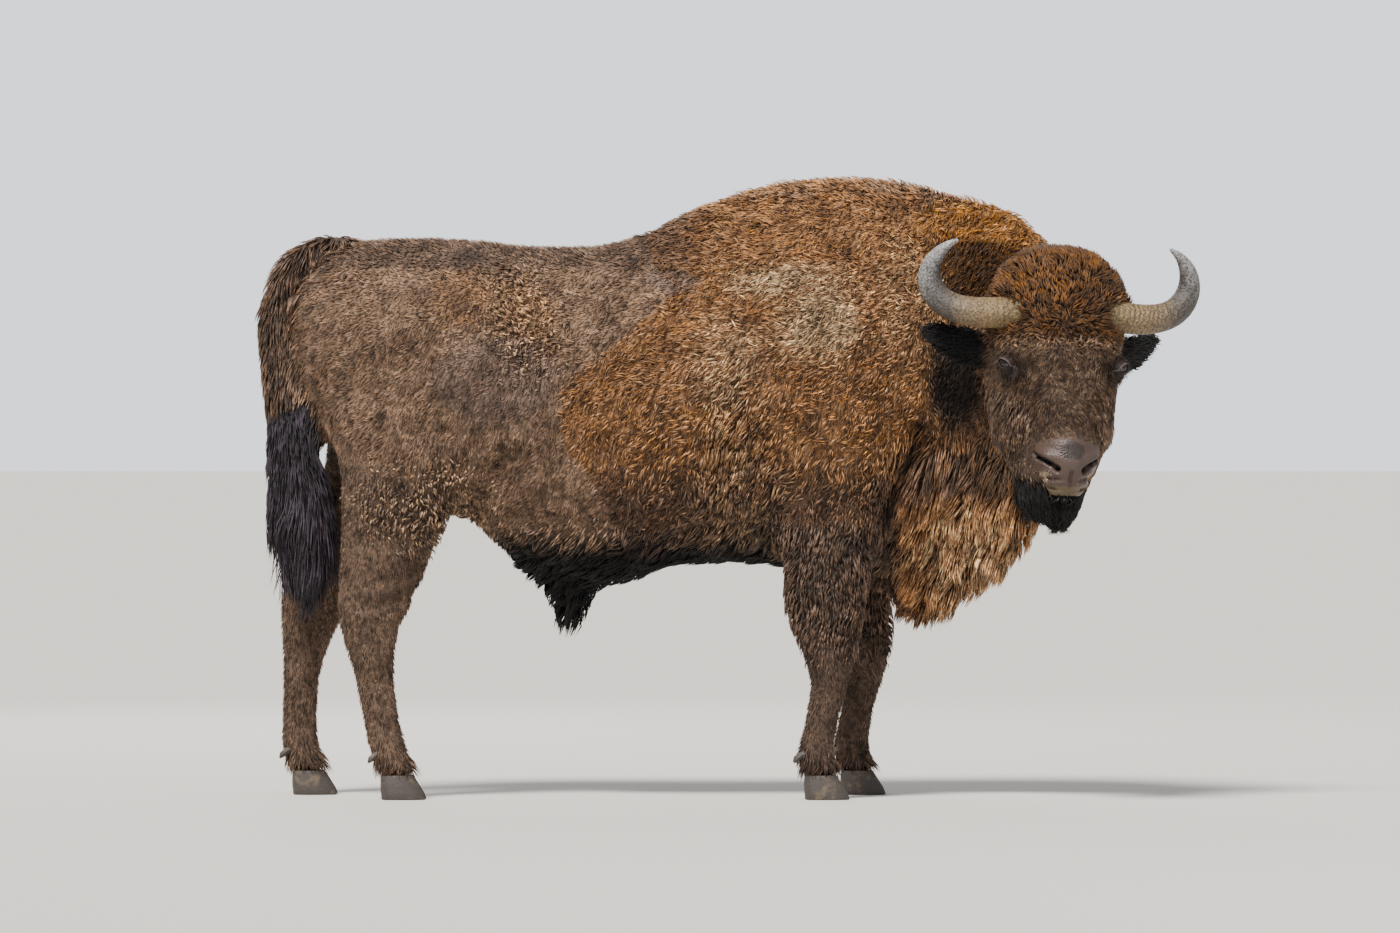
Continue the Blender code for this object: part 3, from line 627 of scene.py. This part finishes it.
# speck: pale tips on matted patches, partly painted highlights on the matted wool
speck = np.maximum.reduce([thighLocks * 0.9, hip * 0.8, elbow * 0.7, belly * 0.35, pale * 0.8,
                           of["head"] * (1 - crown) * 0.3])
noseOval = (1 - ease(np.hypot(beside / 0.040, (up + 0.238) / 0.030), 0.7, 1.15)) * ease(ahead, 0.16, 0.21)
# painted shade: the nostrils and the lid opening round each eyeball are painted near-black as shaded hollows
shadedHollow = np.maximum(nostril, socket)
mark = {"A": np.stack([rust, gold, pale], 1), "B": np.stack([dark, grey, olive], 1),
        "C": np.stack([ink, nude, lidRim], 1), "D": np.stack([speck, shadedHollow, noseOval], 1),
        "E": np.stack([lipMark, whisker, troughShadow], 1)}

# the lie of the coat, as a direction along the skin at each vertex
down = np.array([0.0, 0.0, -1.0])


def lie(weights, direction):
    return np.asarray(weights)[:, None] * np.asarray(direction)


headDown = -headAxes[2]
headFront = headAxes[1]
lowDown = 1 - ease(v, 0.45, 0.85)
flow = lie(of["trunk"] * (1 - lowDown), (-0.9, 0, -0.35)) + lie(of["trunk"] * lowDown, (-0.55, 0, -0.85))
flow += lie(of["neck"] + mane, (-0.35, 0.05, -0.95)) + lie(belly, (-0.6, 0, -0.5))
flow += lie(legPart + switch * 2 + of["tail_dock"] + brush * 2 + elbow * 0.8, (-0.06, 0, -1))
faceDown = lie(of["head"], headDown + headFront * 0.1)
crownOut = local @ headAxes - (np.array([0, 0.05, 0.10]) @ headAxes)
flow += faceDown * (1 - crown)[:, None] + unit(crownOut) * (of["head"] * crown)[:, None] * 1.2
cheek = of["head"] * ease(beside, 0.10, 0.18) * (1 - ease(up, -0.05, 0.10))
flow += lie(cheek, headDown * 0.3 - headFront * 0.6)
for side, sign in zip(sides, (-1, 1)):
    outward = np.array(middle("ear_" + side) - fromHead(sign * 0.12, -0.09, 0.03))
    flow += lie(of["ear_" + side] * 3, outward / np.linalg.norm(outward) + down * 0.35)
flow = unit(flatten(spread(flow, skinEdges, 8), normals))

# an unwrap of the skin's own shape
print("unwrap")
for polygon in skinMesh.polygons:
    polygon.use_smooth = True
skinHolder = bpy.data.objects.new("skin", skinMesh)
bpy.context.scene.collection.objects.link(skinHolder)
bpy.context.view_layer.objects.active = skinHolder
skinHolder.select_set(True)
skinMesh.uv_layers.new(name="OFBake")
bpy.ops.object.mode_set(mode="EDIT")
bpy.ops.mesh.select_all(action="SELECT")
bpy.ops.uv.smart_project(angle_limit=math.radians(66), island_margin=0.002)
bpy.ops.object.mode_set(mode="OBJECT")
bpy.data.objects.remove(skinHolder)
for name, values in mark.items():
    remember(skinMesh, "mark" + name, values)


# the look of skin and coat, as screen colours; shade is the colour of painted shade deep in the coat
coatColour = {"greyBrown": (173, 141, 115), "rust": (186, 136, 90), "gold": (198, 136, 64),
              "straw": (242, 212, 170), "dark": (101, 81, 69), "bare": (142, 118, 105),
              "olive": (98, 60, 11), "ink": (12, 10, 13), "inkBlue": (62, 55, 66), "nose": (66, 52, 46),
              "noseDark": (32, 25, 23), "lip": (88, 74, 52), "lid": (84, 75, 74), "shade": (40, 29, 22)}


def coatPaint(look, chance):
    rust, gold, pale = look.kept("markA")
    dark, grey, olive = look.kept("markB")
    ink, nude, rim = look.kept("markC")
    speck, shadedHollow, oval = look.kept("markD")
    mottle = look.noise(0.070, 5)
    fine = look.noise(0.014, 3)
    patchy = (mottle - 0.5) * 0.9
    colour = look.mix((rust + patchy * 0.5).clear(0.15, 0.8), tint(*coatColour["greyBrown"]),
                      tint(*coatColour["rust"]))
    colour = look.mix((gold + patchy * 0.6).clear(0.2, 0.95) * 0.9, colour, tint(*coatColour["gold"]))
    colour = look.mix((grey + patchy * 0.4).clear(0.3, 0.8) * 0.8, colour, tint(*coatColour["bare"]))
    colour = look.mix(olive.clear(0.1, 0.7) * 0.92, colour, tint(*coatColour["olive"]))
    colour = look.mix((dark + patchy * 0.3).clear(0.15, 0.95) * 0.9, colour, tint(*coatColour["dark"]))
    bleached = (pale * 0.8 + (chance - 0.5) * 1.5 + (fine - 0.5) * 1.6).clear(0.45, 0.95)
    colour = look.mix(bleached * pale.clear(0, 0.3), colour, tint(*coatColour["straw"]))
    # pale specks where speck counts: pale tips, partly painted highlights on matted wool
    colour = look.mix((chance + (fine - 0.5) * 1.4).clear(0.74, 0.98) * speck * 0.8, colour,
                      tint(*coatColour["straw"]))
    black = look.mix(grey.clear(0.3, 0.9), tint(*coatColour["ink"]), tint(*coatColour["inkBlue"]))
    colour = look.mix(ink.clear(0.15, 0.8), colour, black)
    # darker and lighter drifts over the whole coat
    colour = look.mix(mottle.clear(0.62, 0.36) * 0.50, colour, tint(112, 94, 84), "MULTIPLY")
    colour = look.mix(fine.clear(0.58, 0.38) * 0.50, colour, tint(96, 82, 74), "MULTIPLY")
    return colour, nude, rim, shadedHollow, oval


skinLook = Look("skin and undercoat", Roughness=0.8, Specular_IOR_Level=0.35)
undercoat = skinLook.noise(0.004, 4, skinLook.stretch(1, 1, 0.3))
colour, nakedness, rim, shadedHollow, oval = coatPaint(skinLook, undercoat)
# painted shade: the skin between the tufts is darkened to stand for the shaded depths of the coat
colour = skinLook.mix(0.35 + undercoat * 0.4, colour, tint(*coatColour["shade"]), "MULTIPLY")
pad = skinLook.mix((oval + (skinLook.noise(0.010, 4) - 0.5) * 1.5).clear(0.25, 0.9) * 0.8,
                   tint(*coatColour["nose"]), tint(*coatColour["noseDark"]))
colour = skinLook.mix(nakedness.clear(0.25, 0.75), colour, pad)
lip, whisker, troughShadow = skinLook.kept("markE")
freckle = skinLook.noise(0.006, 2)
colour = skinLook.mix(lip.clear(0.4, 0.9) * (0.55 + freckle * 0.4), colour, tint(*coatColour["lip"]))
colour = skinLook.mix((whisker + (freckle - 0.5) * 2.0).clear(0.6, 0.95) * whisker.clear(0.05, 0.3), colour,
                      tint(190, 170, 140))
# painted shadow in the trough below each eye
colour = skinLook.mix(troughShadow.clear(0.3, 0.8) * 0.7, colour, tint(24, 20, 20))
colour = skinLook.mix(skinLook.kept("markC")[0].clear(0.2, 0.5) * 0.35, colour, tint(30, 25, 25))
colour = skinLook.mix(rim.clear(0.3, 0.8) * 0.8, colour, tint(*coatColour["lid"]))
# painted shade, near-black, in the nostrils and the lid opening
colour = skinLook.mix(shadedHollow.clear(0.25, 0.75), colour, tint(14, 11, 11))
pores = skinLook.add("ShaderNodeTexVoronoi", None, {"Vector": skinLook.spot(), "Scale": 200.0})
smoothSkin = nakedness.clear(0.3, 0.9)
skinMaterial = skinLook.finish(colour, 0.85 - smoothSkin * 0.4,
                               undercoat * (1 - smoothSkin) + pores * smoothSkin * 0.28, 0.004)
piece("skin", skinMesh, skinMaterial, "coat", flesh)

coatLook = Look("coat", Roughness=0.72, Specular_IOR_Level=0.26, Sheen_Weight=0.04, Sheen_Roughness=0.5)
along, chance, shade = coatLook.kept("hair")
colour = coatPaint(coatLook, chance)[0]
# painted shade at each tuft's root, deep in the coat, lifting towards the tip
colour = coatLook.mix((1 - along).clear(0.2, 1.0) * 0.75, colour, tint(*coatColour["shade"]), "MULTIPLY")
colour = coatLook.mix(along.clear(0.5, 1.0) * chance.clear(0.40, 1.0) * 0.6, colour, tint(235, 215, 190),
                      "SOFT_LIGHT")
colour = coatLook.add("ShaderNodeHueSaturation", None, {"Color": colour, "Value": 0.16 + shade * 1.72,
                                                        "Saturation": 0.85 + chance * 0.3})
coatMaterial = coatLook.finish(colour)

# tufts
# per coat: how many to the square metre, length, half width at the root, rings, lift at root and
# tip in degrees, scatter of direction in degrees, clump size in metres and how far tips gather
coats = {
    "coatWool": {"where": wool * (1 - mane) * (1 - belly), "many": 20000, "long": 0.024, "thick": 0.0026,
                 "rings": 1, "lift": (44, 22), "stray": 34, "clump": 0.018, "gather": 0.50},
    "coatLocks": {"where": wool * (1 - mane) * (1 - belly), "many": 4400, "long": 0.034, "thick": 0.0029,
                  "rings": 2, "lift": (44, 12), "stray": 38, "clump": 0.022, "gather": 0.65},
    "coatRear": {"where": rear * (1 - belly) * (1 - 0.3 * bare), "many": 21000, "long": 0.022,
                 "thick": 0.0026, "rings": 1, "lift": (50, 22), "stray": 30, "clump": 0.020, "gather": 0.45},
    "coatHip": {"where": np.maximum(hip, thighLocks * 0.8) * (1 - wool), "many": 9000, "long": 0.032,
                "thick": 0.0036, "rings": 2, "lift": (70, 22), "stray": 60, "clump": 0.020, "gather": 0.55},
    "coatBelly": {"where": np.clip(belly + groove * 0.6 + elbow, 0, 1) * (1 - mane), "many": 11000,
                  "long": 0.050, "thick": 0.0033, "rings": 2, "lift": (46, 12), "stray": 16, "clump": 0.034,
                  "gather": 0.7},
    "coatMane": {"where": mane, "many": 13500, "long": 0.075, "thick": 0.0029, "rings": 3,
                 "lift": (48, 8), "stray": 18, "clump": 0.036, "gather": 0.65},
    "coatCrown": {"where": crown * (1 - eyeBare), "many": 33000, "long": 0.036, "thick": 0.0024, "rings": 2,
                  "lift": (60, 22), "stray": 55, "clump": 0.016, "gather": 0.45},
    "coatFace": {"where": of["head"] * (1 - crown) * (1 - nude) * (1 - eyeBare) * (1 - beard) * (1 - jaw),
                 "many": 52000, "long": 0.028, "thick": 0.0019, "rings": 1, "lift": (40, 18), "stray": 26,
                 "clump": 0.014, "gather": 0.4},
    "coatBeard": {"where": beard * (1 - nude), "many": 24000, "long": 0.080, "thick": 0.0026, "rings": 3,
                  "lift": (40, 4), "stray": 18, "clump": 0.018, "gather": 0.5},
    "coatJaw": {"where": jaw * (1 - beard) * (1 - crown), "many": 24000, "long": 0.050, "thick": 0.0026,
                "rings": 2, "lift": (36, 10), "stray": 16, "clump": 0.018, "gather": 0.5},
    "coatLegs": {"where": legPart * (1 - 0.6 * foreShag), "many": 18000, "long": 0.018, "thick": 0.0025,
                 "rings": 1, "lift": (38, 16), "stray": 24, "clump": 0.016, "gather": 0.4},
    "coatShag": {"where": foreShag, "many": 14000, "long": 0.040, "thick": 0.0030, "rings": 2,
                 "lift": (44, 12), "stray": 20, "clump": 0.026, "gather": 0.6},
    "coatTail": {"where": of["tail_dock"] + switch, "many": 15000, "long": 0.06, "thick": 0.0032, "rings": 3,
                 "lift": (24, 4), "stray": 12, "clump": 0.022, "gather": 0.5},
    "coatEars": {"where": ears, "many": 42000, "long": 0.032, "thick": 0.0022, "rings": 2,
                 "lift": (40, 12), "stray": 26, "clump": 0.012, "gather": 0.4},
}
# longer and shorter, or more tousled, than its coat's own measure
lengthen = np.ones(len(points))
lengthen += switch * 1.8 * (1 - ease(v, 0.45, 0.62)) + brush * 0.5
lengthen += (0.35 * ease(up, -0.10, 0.06) - 0.35 * (1 - ease(up, -0.26, -0.10))) * of["head"] * (1 - crown)
lengthen += 1.5 * legPart * np.exp(-((points[:, 2] - 0.105) / 0.030) ** 2)
nearMuzzle = 1 - ease(np.hypot(beside / 0.13, (up + 0.28) / 0.10), 0.9, 1.5)
lengthen *= 1 - 0.55 * nearMuzzle * of["head"] * (1 - beard)
tousle = 1 + 1.3 * of["head"] * (1 - crown) * ease(up, -0.14, 0.04) * (1 - ease(beside, 0.10, 0.16))

skinMesh.calc_loop_triangles()
triCount = len(skinMesh.loop_triangles)
triVerts = np.zeros(triCount * 3, np.int32)
triLoops = np.zeros(triCount * 3, np.int32)
skinMesh.loop_triangles.foreach_get("vertices", triVerts)
skinMesh.loop_triangles.foreach_get("loops", triLoops)
triVerts, triLoops = triVerts.reshape(-1, 3), triLoops.reshape(-1, 3)
uvs = np.zeros(len(skinMesh.loops) * 2)
skinMesh.uv_layers["OFBake"].data.foreach_get("uv", uvs)
uvs = uvs.reshape(-1, 2)
areas = np.linalg.norm(np.cross(points[triVerts[:, 1]] - points[triVerts[:, 0]],
                                points[triVerts[:, 2]] - points[triVerts[:, 0]]), axis=1) / 2


tuftRoot = 0.002      # how far a tuft starts inside the skin, in metres
tuftPatch = 0.0013    # half width of a tuft's place on the unwrap


def grow(name, seed):
    kind = coats[name]
    chooser = np.random.default_rng(seed)
    where = np.clip(kind["where"], 0, 1)
    weight = areas * np.mean(where[triVerts], axis=1)
    running = np.cumsum(weight) * kind["many"]
    total = int(running[-1])
    marks = np.arange(total) + chooser.random(total)
    picked = np.minimum(np.searchsorted(running, marks), triCount - 1)
    share = chooser.random((total, 2))
    share = np.where(share.sum(1, keepdims=True) > 1, 1 - share, share)
    share = np.concatenate([1 - share.sum(1, keepdims=True), share], 1)

    def at(values):
        values = values.reshape(len(points), -1)
        return np.einsum("nk,nkd->nd", share, values[triVerts[picked]])

    root, normal = at(points), unit(at(normals))
    lying = unit(flatten(at(flow), normal))
    wander = chooser.normal(size=total) * 0.6 + drift(root, 0.05, seed) * 1.2
    turn = np.radians(kind["stray"]) * at(tousle)[:, 0] * wander
    side = np.cross(normal, lying)
    lying = lying * np.cos(turn)[:, None] + side * np.sin(turn)[:, None]
    long = kind["long"] * at(lengthen)[:, 0] * (0.75 + 0.5 * chooser.random(total))
    long *= 0.55 + 0.45 * at(where)[:, 0]      # shorter at the coat's edge
    long *= 1 + 0.25 * drift(root, 0.06, seed + 3)
    rings = kind["rings"]
    lifts = np.linspace(*kind["lift"], rings) if rings > 1 else np.array([sum(kind["lift"]) / 2])
    lifts = np.radians(lifts)
    spine = [root - normal * tuftRoot]
    for lift in lifts:
        step = lying * math.cos(lift) + normal * math.sin(lift)
        spine.append(spine[-1] + step * (long / rings)[:, None])
    # tips of a clump lean together and share part of their shade
    heads = chooser.random(total) < min(1.0, 1 / (kind["many"] * kind["clump"] ** 2))
    headIndex = np.flatnonzero(heads)
    shade = chooser.random(total)
    if len(headIndex) > 4:
        finder = kdtree.KDTree(len(headIndex))
        for number, index in enumerate(headIndex):
            finder.insert(root[index], number)
        finder.balance()
        leader = headIndex[[finder.find(p)[1] for p in root]]
        near = np.exp(-np.sum((root - root[leader]) ** 2, 1) / (kind["clump"] * 1.2) ** 2)
        for level in range(1, rings + 1):
            amount = kind["gather"] * near * (level / rings)
            spine[level] += (spine[level][leader] - spine[level]) * amount[:, None]
        shade = shade * 0.35 + shade[leader] * 0.65
    thick = kind["thick"] * (0.75 + 0.5 * chooser.random(total))
    verts, alongs = [], []
    for level in range(rings):
        axis = unit(spine[level + 1] - spine[level])
        sideways = unit(np.cross(axis, normal))
        over = np.cross(sideways, axis)
        width = thick * (1.0, 0.85, 0.6)[level] * (1 if level or rings == 1 else 0.8)
        for angle in (math.pi / 2, math.pi * 7 / 6, math.pi * 11 / 6):
            verts.append(spine[level] + sideways * (math.cos(angle) * width)[:, None]
                         + over * (math.sin(angle) * width * 0.75)[:, None])
        alongs += [level / rings] * 3
    verts.append(spine[-1])
    alongs.append(1.0)
    per = rings * 3 + 1
    verts = np.stack(verts, 1)
    faces = [(0, 2, 1)]
    for level in range(rings - 1):
        for k in range(3):
            a, b = level * 3 + k, level * 3 + (k + 1) % 3
            faces += [(a, b, b + 3), (a, b + 3, a + 3)]
    last = (rings - 1) * 3
    faces += [(last + k, last + (k + 1) % 3, per - 1) for k in range(3)]
    faces = np.array(faces)
    first, inner = verts[0][faces], verts[0].mean(0)
    volume = np.sum(np.cross(first[:, 0] - inner, first[:, 1] - inner) * (first[:, 2] - inner))
    if volume < 0:      # the faces look inward
        faces = faces[:, ::-1]
    rootUv = np.einsum("nk,nkd->nd", share, uvs[triLoops[picked]])
    ringUv = [(tuftPatch * math.cos(t), tuftPatch * math.sin(t)) for t in (0.5, 2.6, 4.7)]
    perUv = np.array([(x * (1 - 0.28 * level), z * (1 - 0.28 * level)) for level in range(rings)
                      for x, z in ringUv] + [(0.0002, 0.0001)])
    return {"verts": verts, "faces": faces, "per": per, "alongs": np.array(alongs), "uv": rootUv,
            "perUv": perUv, "marks": {key: at(values) for key, values in mark.items()}, "shade": shade,
            "chance": chooser.random(total), "count": total}


def buildCoat(name, grown, keep):
    count, per = len(keep), grown["per"]
    verts = grown["verts"][keep].reshape(-1, 3)
    faces = (grown["faces"][None] + (np.arange(count) * per)[:, None, None]).reshape(-1, 3)
    mesh = bpy.data.meshes.new(name)
    mesh.vertices.add(len(verts))
    mesh.vertices.foreach_set("co", verts.astype(np.float32).ravel())
    mesh.loops.add(faces.size)
    mesh.loops.foreach_set("vertex_index", faces.astype(np.int32).ravel())
    mesh.polygons.add(len(faces))
    mesh.polygons.foreach_set("loop_start", np.arange(len(faces), dtype=np.int32) * 3)
    mesh.polygons.foreach_set("use_smooth", np.ones(len(faces), bool))
    mesh.update(calc_edges=True)
    uv = grown["uv"][keep][:, None] + grown["perUv"][None]
    layer = mesh.uv_layers.new(name="OFBake")
    layer.data.foreach_set("uv", np.clip(uv.reshape(-1, 2)[faces.ravel()], 0, 1).astype(np.float32).ravel())
    for key, values in grown["marks"].items():
        remember(mesh, "mark" + key, np.repeat(values[keep], per, axis=0))
    hair = np.stack([np.tile(grown["alongs"], count), np.repeat(grown["chance"][keep], per),
                     np.repeat(grown["shade"][keep], per)], 1)
    remember(mesh, "hair", hair)
    piece(name, mesh, coatMaterial, "dark_coat" if name in darkCoats else "coat")
    return len(faces)


print("coat")
darkCoats = ("coatLegs", "coatShag", "coatTail", "coatEars")
pieceLimit = 185000      # triangles
total = 0
for seed, name in enumerate(coats):
    grown = grow(name, seed + 11)
    pieces = max(1, math.ceil(grown["count"] * len(grown["faces"]) / pieceLimit))
    for number in range(pieces):
        keep = np.arange(number, grown["count"], pieces)
        label = name if pieces == 1 else f"{name}{number + 1}"
        made = buildCoat(label, grown, keep)
        total += made
        print(" ", label, made)
print("coat triangles", total)

# horns
# the root's place in the head's own directions, and the reach that counts as root, in metres
horn = {"levels": 2, "root": (0.12, 0.02, 0.152), "rootReach": 0.055}


def hornPiece(side):
    mesh = modified(mergedCopy(["horn_" + side]),
                    ("SUBSURF", {"levels": horn["levels"], "render_levels": horn["levels"]}))
    for polygon in mesh.polygons:
        polygon.use_smooth = True
    # how far along the horn each vertex is, 0 at the root and 1 at the tip
    co = coordinates(mesh)
    ends = edgesOf(mesh)
    lengths = np.linalg.norm(co[ends[:, 0]] - co[ends[:, 1]], axis=1)
    sign = -1 if side == "right" else 1
    outTo, forwardTo, upTo = horn["root"]
    far = np.linalg.norm(co - np.array(fromHead(sign * outTo, forwardTo, upTo)), axis=1)
    walked = np.where(far < horn["rootReach"], far * 0.2, 9.0)
    for _ in range(400):
        before = walked.copy()
        np.minimum.at(walked, ends[:, 0], before[ends[:, 1]] + lengths)
        np.minimum.at(walked, ends[:, 1], before[ends[:, 0]] + lengths)
        if np.allclose(before, walked):
            break
    walked /= walked.max()
    remember(mesh, "along", np.stack([walked, walked * 0, walked * 0], 1))
    return mesh


print("horns")
hornLook = Look("horn", Roughness=0.5)
reach = hornLook.kept("along")[0]
grain = hornLook.noise(0.02, 4)
streak = hornLook.noise(0.006, 3)
colour = hornLook.add("ShaderNodeValToRGB", {"stops": [
    (0.0, tint(102, 85, 50)), (0.22, tint(130, 106, 74)), (0.42, tint(110, 92, 70)),
    (0.56, tint(70, 62, 56)), (0.70, tint(74, 70, 68)), (0.84, tint(128, 126, 126)),
    (1.0, tint(158, 156, 156))]}, {"Fac": reach + (grain - 0.5) * 0.22})
colour = hornLook.mix((grain - 0.5).clear(0.02, 0.2) * (1 - reach.clear(0.35, 0.5)) * 0.5, colour,
                      tint(122, 112, 56))
colour = hornLook.mix((streak - 0.5).clear(-0.08, 0.12) * 0.7, colour, tint(88, 76, 62), "MULTIPLY")
scuff = hornLook.noise(0.030, 6, None, 0.7)
colour = hornLook.mix((scuff - 0.5).clear(0.02, 0.20) * 0.35, colour, tint(58, 48, 38))
speckle = (streak - 0.5).clear(0.04, 0.12) * (reach.clear(0.38, 0.55) * (1 - reach.clear(0.72, 0.86)))
colour = hornLook.mix(speckle * 0.85, colour, tint(40, 36, 36))
ridges = hornLook.add("ShaderNodeMath", {"operation": "SINE"}, {0: reach * 150.0 + grain * 9.0})
hornBump = ridges * (1 - reach.clear(0.25, 0.6)) * 0.35 + streak * 0.8 + scuff * 0.8
hornMaterial = hornLook.finish(colour, 0.42 + grain * 0.25, hornBump, 0.0035)
for side in sides:
    piece("horn" + side.title(), hornPiece(side), hornMaterial, "horn", ["horn_" + side])

# claws and dewclaws; a dewclaw is drawn in towards the leg, short and blunt
hoof = {"bevel": 0.004, "segments": 2, "sharpest": 50, "dewclawSize": 0.80, "dewclawIn": 0.008}

print("hooves")
hoofLook = Look("hoof", Roughness=0.55)
bands = hoofLook.noise(0.01, 3, hoofLook.stretch(1, 1, 5))
mud = hoofLook.noise(0.03, 4)
colour = hoofLook.mix(bands, tint(34, 30, 29), tint(70, 62, 56))
colour = hoofLook.mix((mud - 0.5).clear(0.0, 0.2) * 0.6, colour, tint(104, 90, 70))
hoofMaterial = hoofLook.finish(colour, 0.5 + mud * 0.3, bands * 0.7 + mud * 0.5, 0.002)
for name in sorted(nodes):
    if "claw" in name:
        mesh = modified(mergedCopy([name]), ("BEVEL", {
            "width": hoof["bevel"], "segments": hoof["segments"], "limit_method": "ANGLE",
            "angle_limit": math.radians(hoof["sharpest"])}))
        for polygon in mesh.polygons:
            polygon.use_smooth = True
        if name.startswith("dewclaw"):
            co = coordinates(mesh)
            leg = middle("leg_" + "_".join(name.split("_")[1:3]))
            centre = co.mean(0)
            inward = unit(np.array([[leg.x - centre[0], leg.y - centre[1], 0.0]]))[0]
            place(mesh, centre + (co - centre) * hoof["dewclawSize"] + inward * hoof["dewclawIn"])
        piece(name.replace("_", "") + "Hoof", mesh, hoofMaterial, "hoof", [name])

# eyes
eye = {"around": 32, "rows": 24, "pupil": 0.5}

print("eyes")
eyeLook = Look("eye", Roughness=0.12, Specular_IOR_Level=0.35, Coat_Weight=0.5, Coat_Roughness=0.03)
ring = eyeLook.kept("iris")[1]
colour = eyeLook.mix(ring.clear(eye["pupil"] - 0.05, eye["pupil"] + 0.05), tint(6, 5, 5), tint(44, 27, 17))
colour = eyeLook.mix(ring.clear(0.9, 1.0), colour, tint(38, 28, 25))
eyeMaterial = eyeLook.finish(colour)
for side, sign in zip(sides, (-1, 1)):
    low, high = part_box("eye_" + side)
    centre, radius = (low + high) / 2, (high.x - low.x) / 2
    shape = bmesh.new()
    bmesh.ops.create_uvsphere(shape, u_segments=eye["around"], v_segments=eye["rows"], radius=radius)
    for vert in shape.verts:
        vert.co += centre
    mesh = bpy.data.meshes.new("eye")
    shape.to_mesh(mesh)
    shape.free()
    for polygon in mesh.polygons:
        polygon.use_smooth = True
    off = (coordinates(mesh) - np.array(centre)) / radius
    outward = np.array(headLeft * sign * eyeSide + headAhead * eyeOut)
    across = unit(np.cross(outward, np.array(headUp))[None])[0]
    wide, tall = off @ across, off @ np.array(headUp)
    ringAway = np.hypot(wide * 0.95, tall * 1.1) + np.where(off @ outward < 0, 1.0, 0.0)
    remember(mesh, "iris", np.stack([off @ outward, ringAway, ringAway * 0], 1))
    piece("eyeball" + side.title(), mesh, eyeMaterial, "eye", ["eye_" + side])

# floor, light and camera
stage = {"floorSize": 60, "floorDrop": 0.0005, "sun": 7.6, "sunSoft": 16, "sunWay": (0.42, 0.80, -1.25),
         "fill": 130, "back": 160, "worldLight": 0.52, "backdrop": 1.6}
view = {"x": -0.07605, "away": 32.0, "high": 1.45, "aim": 0.958, "lens": 283.7, "sensor": 36}

print("stage")
floorLook = Look("floor", Roughness=0.9)
floorMaterial = floorLook.finish(tint(197, 194, 189))
shape = bmesh.new()
bmesh.ops.create_grid(shape, x_segments=1, y_segments=1, size=stage["floorSize"])
mesh = bpy.data.meshes.new("floor")
shape.to_mesh(mesh)
shape.free()
mesh.materials.append(floorMaterial)
floor = bpy.data.objects.new("floor", mesh)
floor.location.z = -stage["floorDrop"]
bpy.context.scene.collection.objects.link(floor)
floor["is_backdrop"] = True


def light(name, where, size, power, colour):
    data = bpy.data.lights.new(name, "AREA")
    data.shape, data.size, data.energy, data.color = "DISK", size, power, colour
    made = bpy.data.objects.new(name, data)
    bpy.context.scene.collection.objects.link(made)
    made.location = where
    made.rotation_euler = (Vector((0, bodyMiddle, 0.9)) - Vector(where)).to_track_quat("-Z", "Y").to_euler()


sunData = bpy.data.lights.new("key", "SUN")
sunData.energy, sunData.angle, sunData.color = stage["sun"], math.radians(stage["sunSoft"]), (1.0, 0.96, 0.90)
sun = bpy.data.objects.new("key", sunData)
sun.rotation_euler = Vector(stage["sunWay"]).to_track_quat("-Z", "Y").to_euler()
bpy.context.scene.collection.objects.link(sun)
light("fill", (5.0, -6.0, 2.5), 5.0, stage["fill"], (0.92, 0.96, 1.0))
light("back", (-2.0, 6.0, 4.0), 4.0, stage["back"], (1.0, 0.98, 0.95))
world = bpy.data.worlds.new("studio")
world.use_nodes = True
sky = world.node_tree
rays = sky.nodes.new("ShaderNodeLightPath")
strength = sky.nodes.new("ShaderNodeMapRange")     # a paler backdrop than the light it gives
strength.inputs["To Min"].default_value = stage["worldLight"]
strength.inputs["To Max"].default_value = stage["backdrop"]
sky.links.new(rays.outputs["Is Camera Ray"], strength.inputs["Value"])
sky.nodes["Background"].inputs[0].default_value = (0.93, 0.95, 1.0, 1)
sky.links.new(strength.outputs[0], sky.nodes["Background"].inputs[1])
bpy.context.scene.world = world

cameraData = bpy.data.cameras.new("camera")
cameraData.sensor_width, cameraData.lens = view["sensor"], view["lens"]
camera = bpy.data.objects.new("camera", cameraData)
camera.location = (view["x"], bodyMiddle - view["away"], view["high"])
aim = Vector((view["x"], bodyMiddle, view["aim"]))
camera.rotation_euler = (aim - camera.location).to_track_quat("-Z", "Y").to_euler()
cameraData.clip_end = 200
bpy.context.scene.collection.objects.link(camera)
bpy.context.scene.camera = camera

low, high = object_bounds()
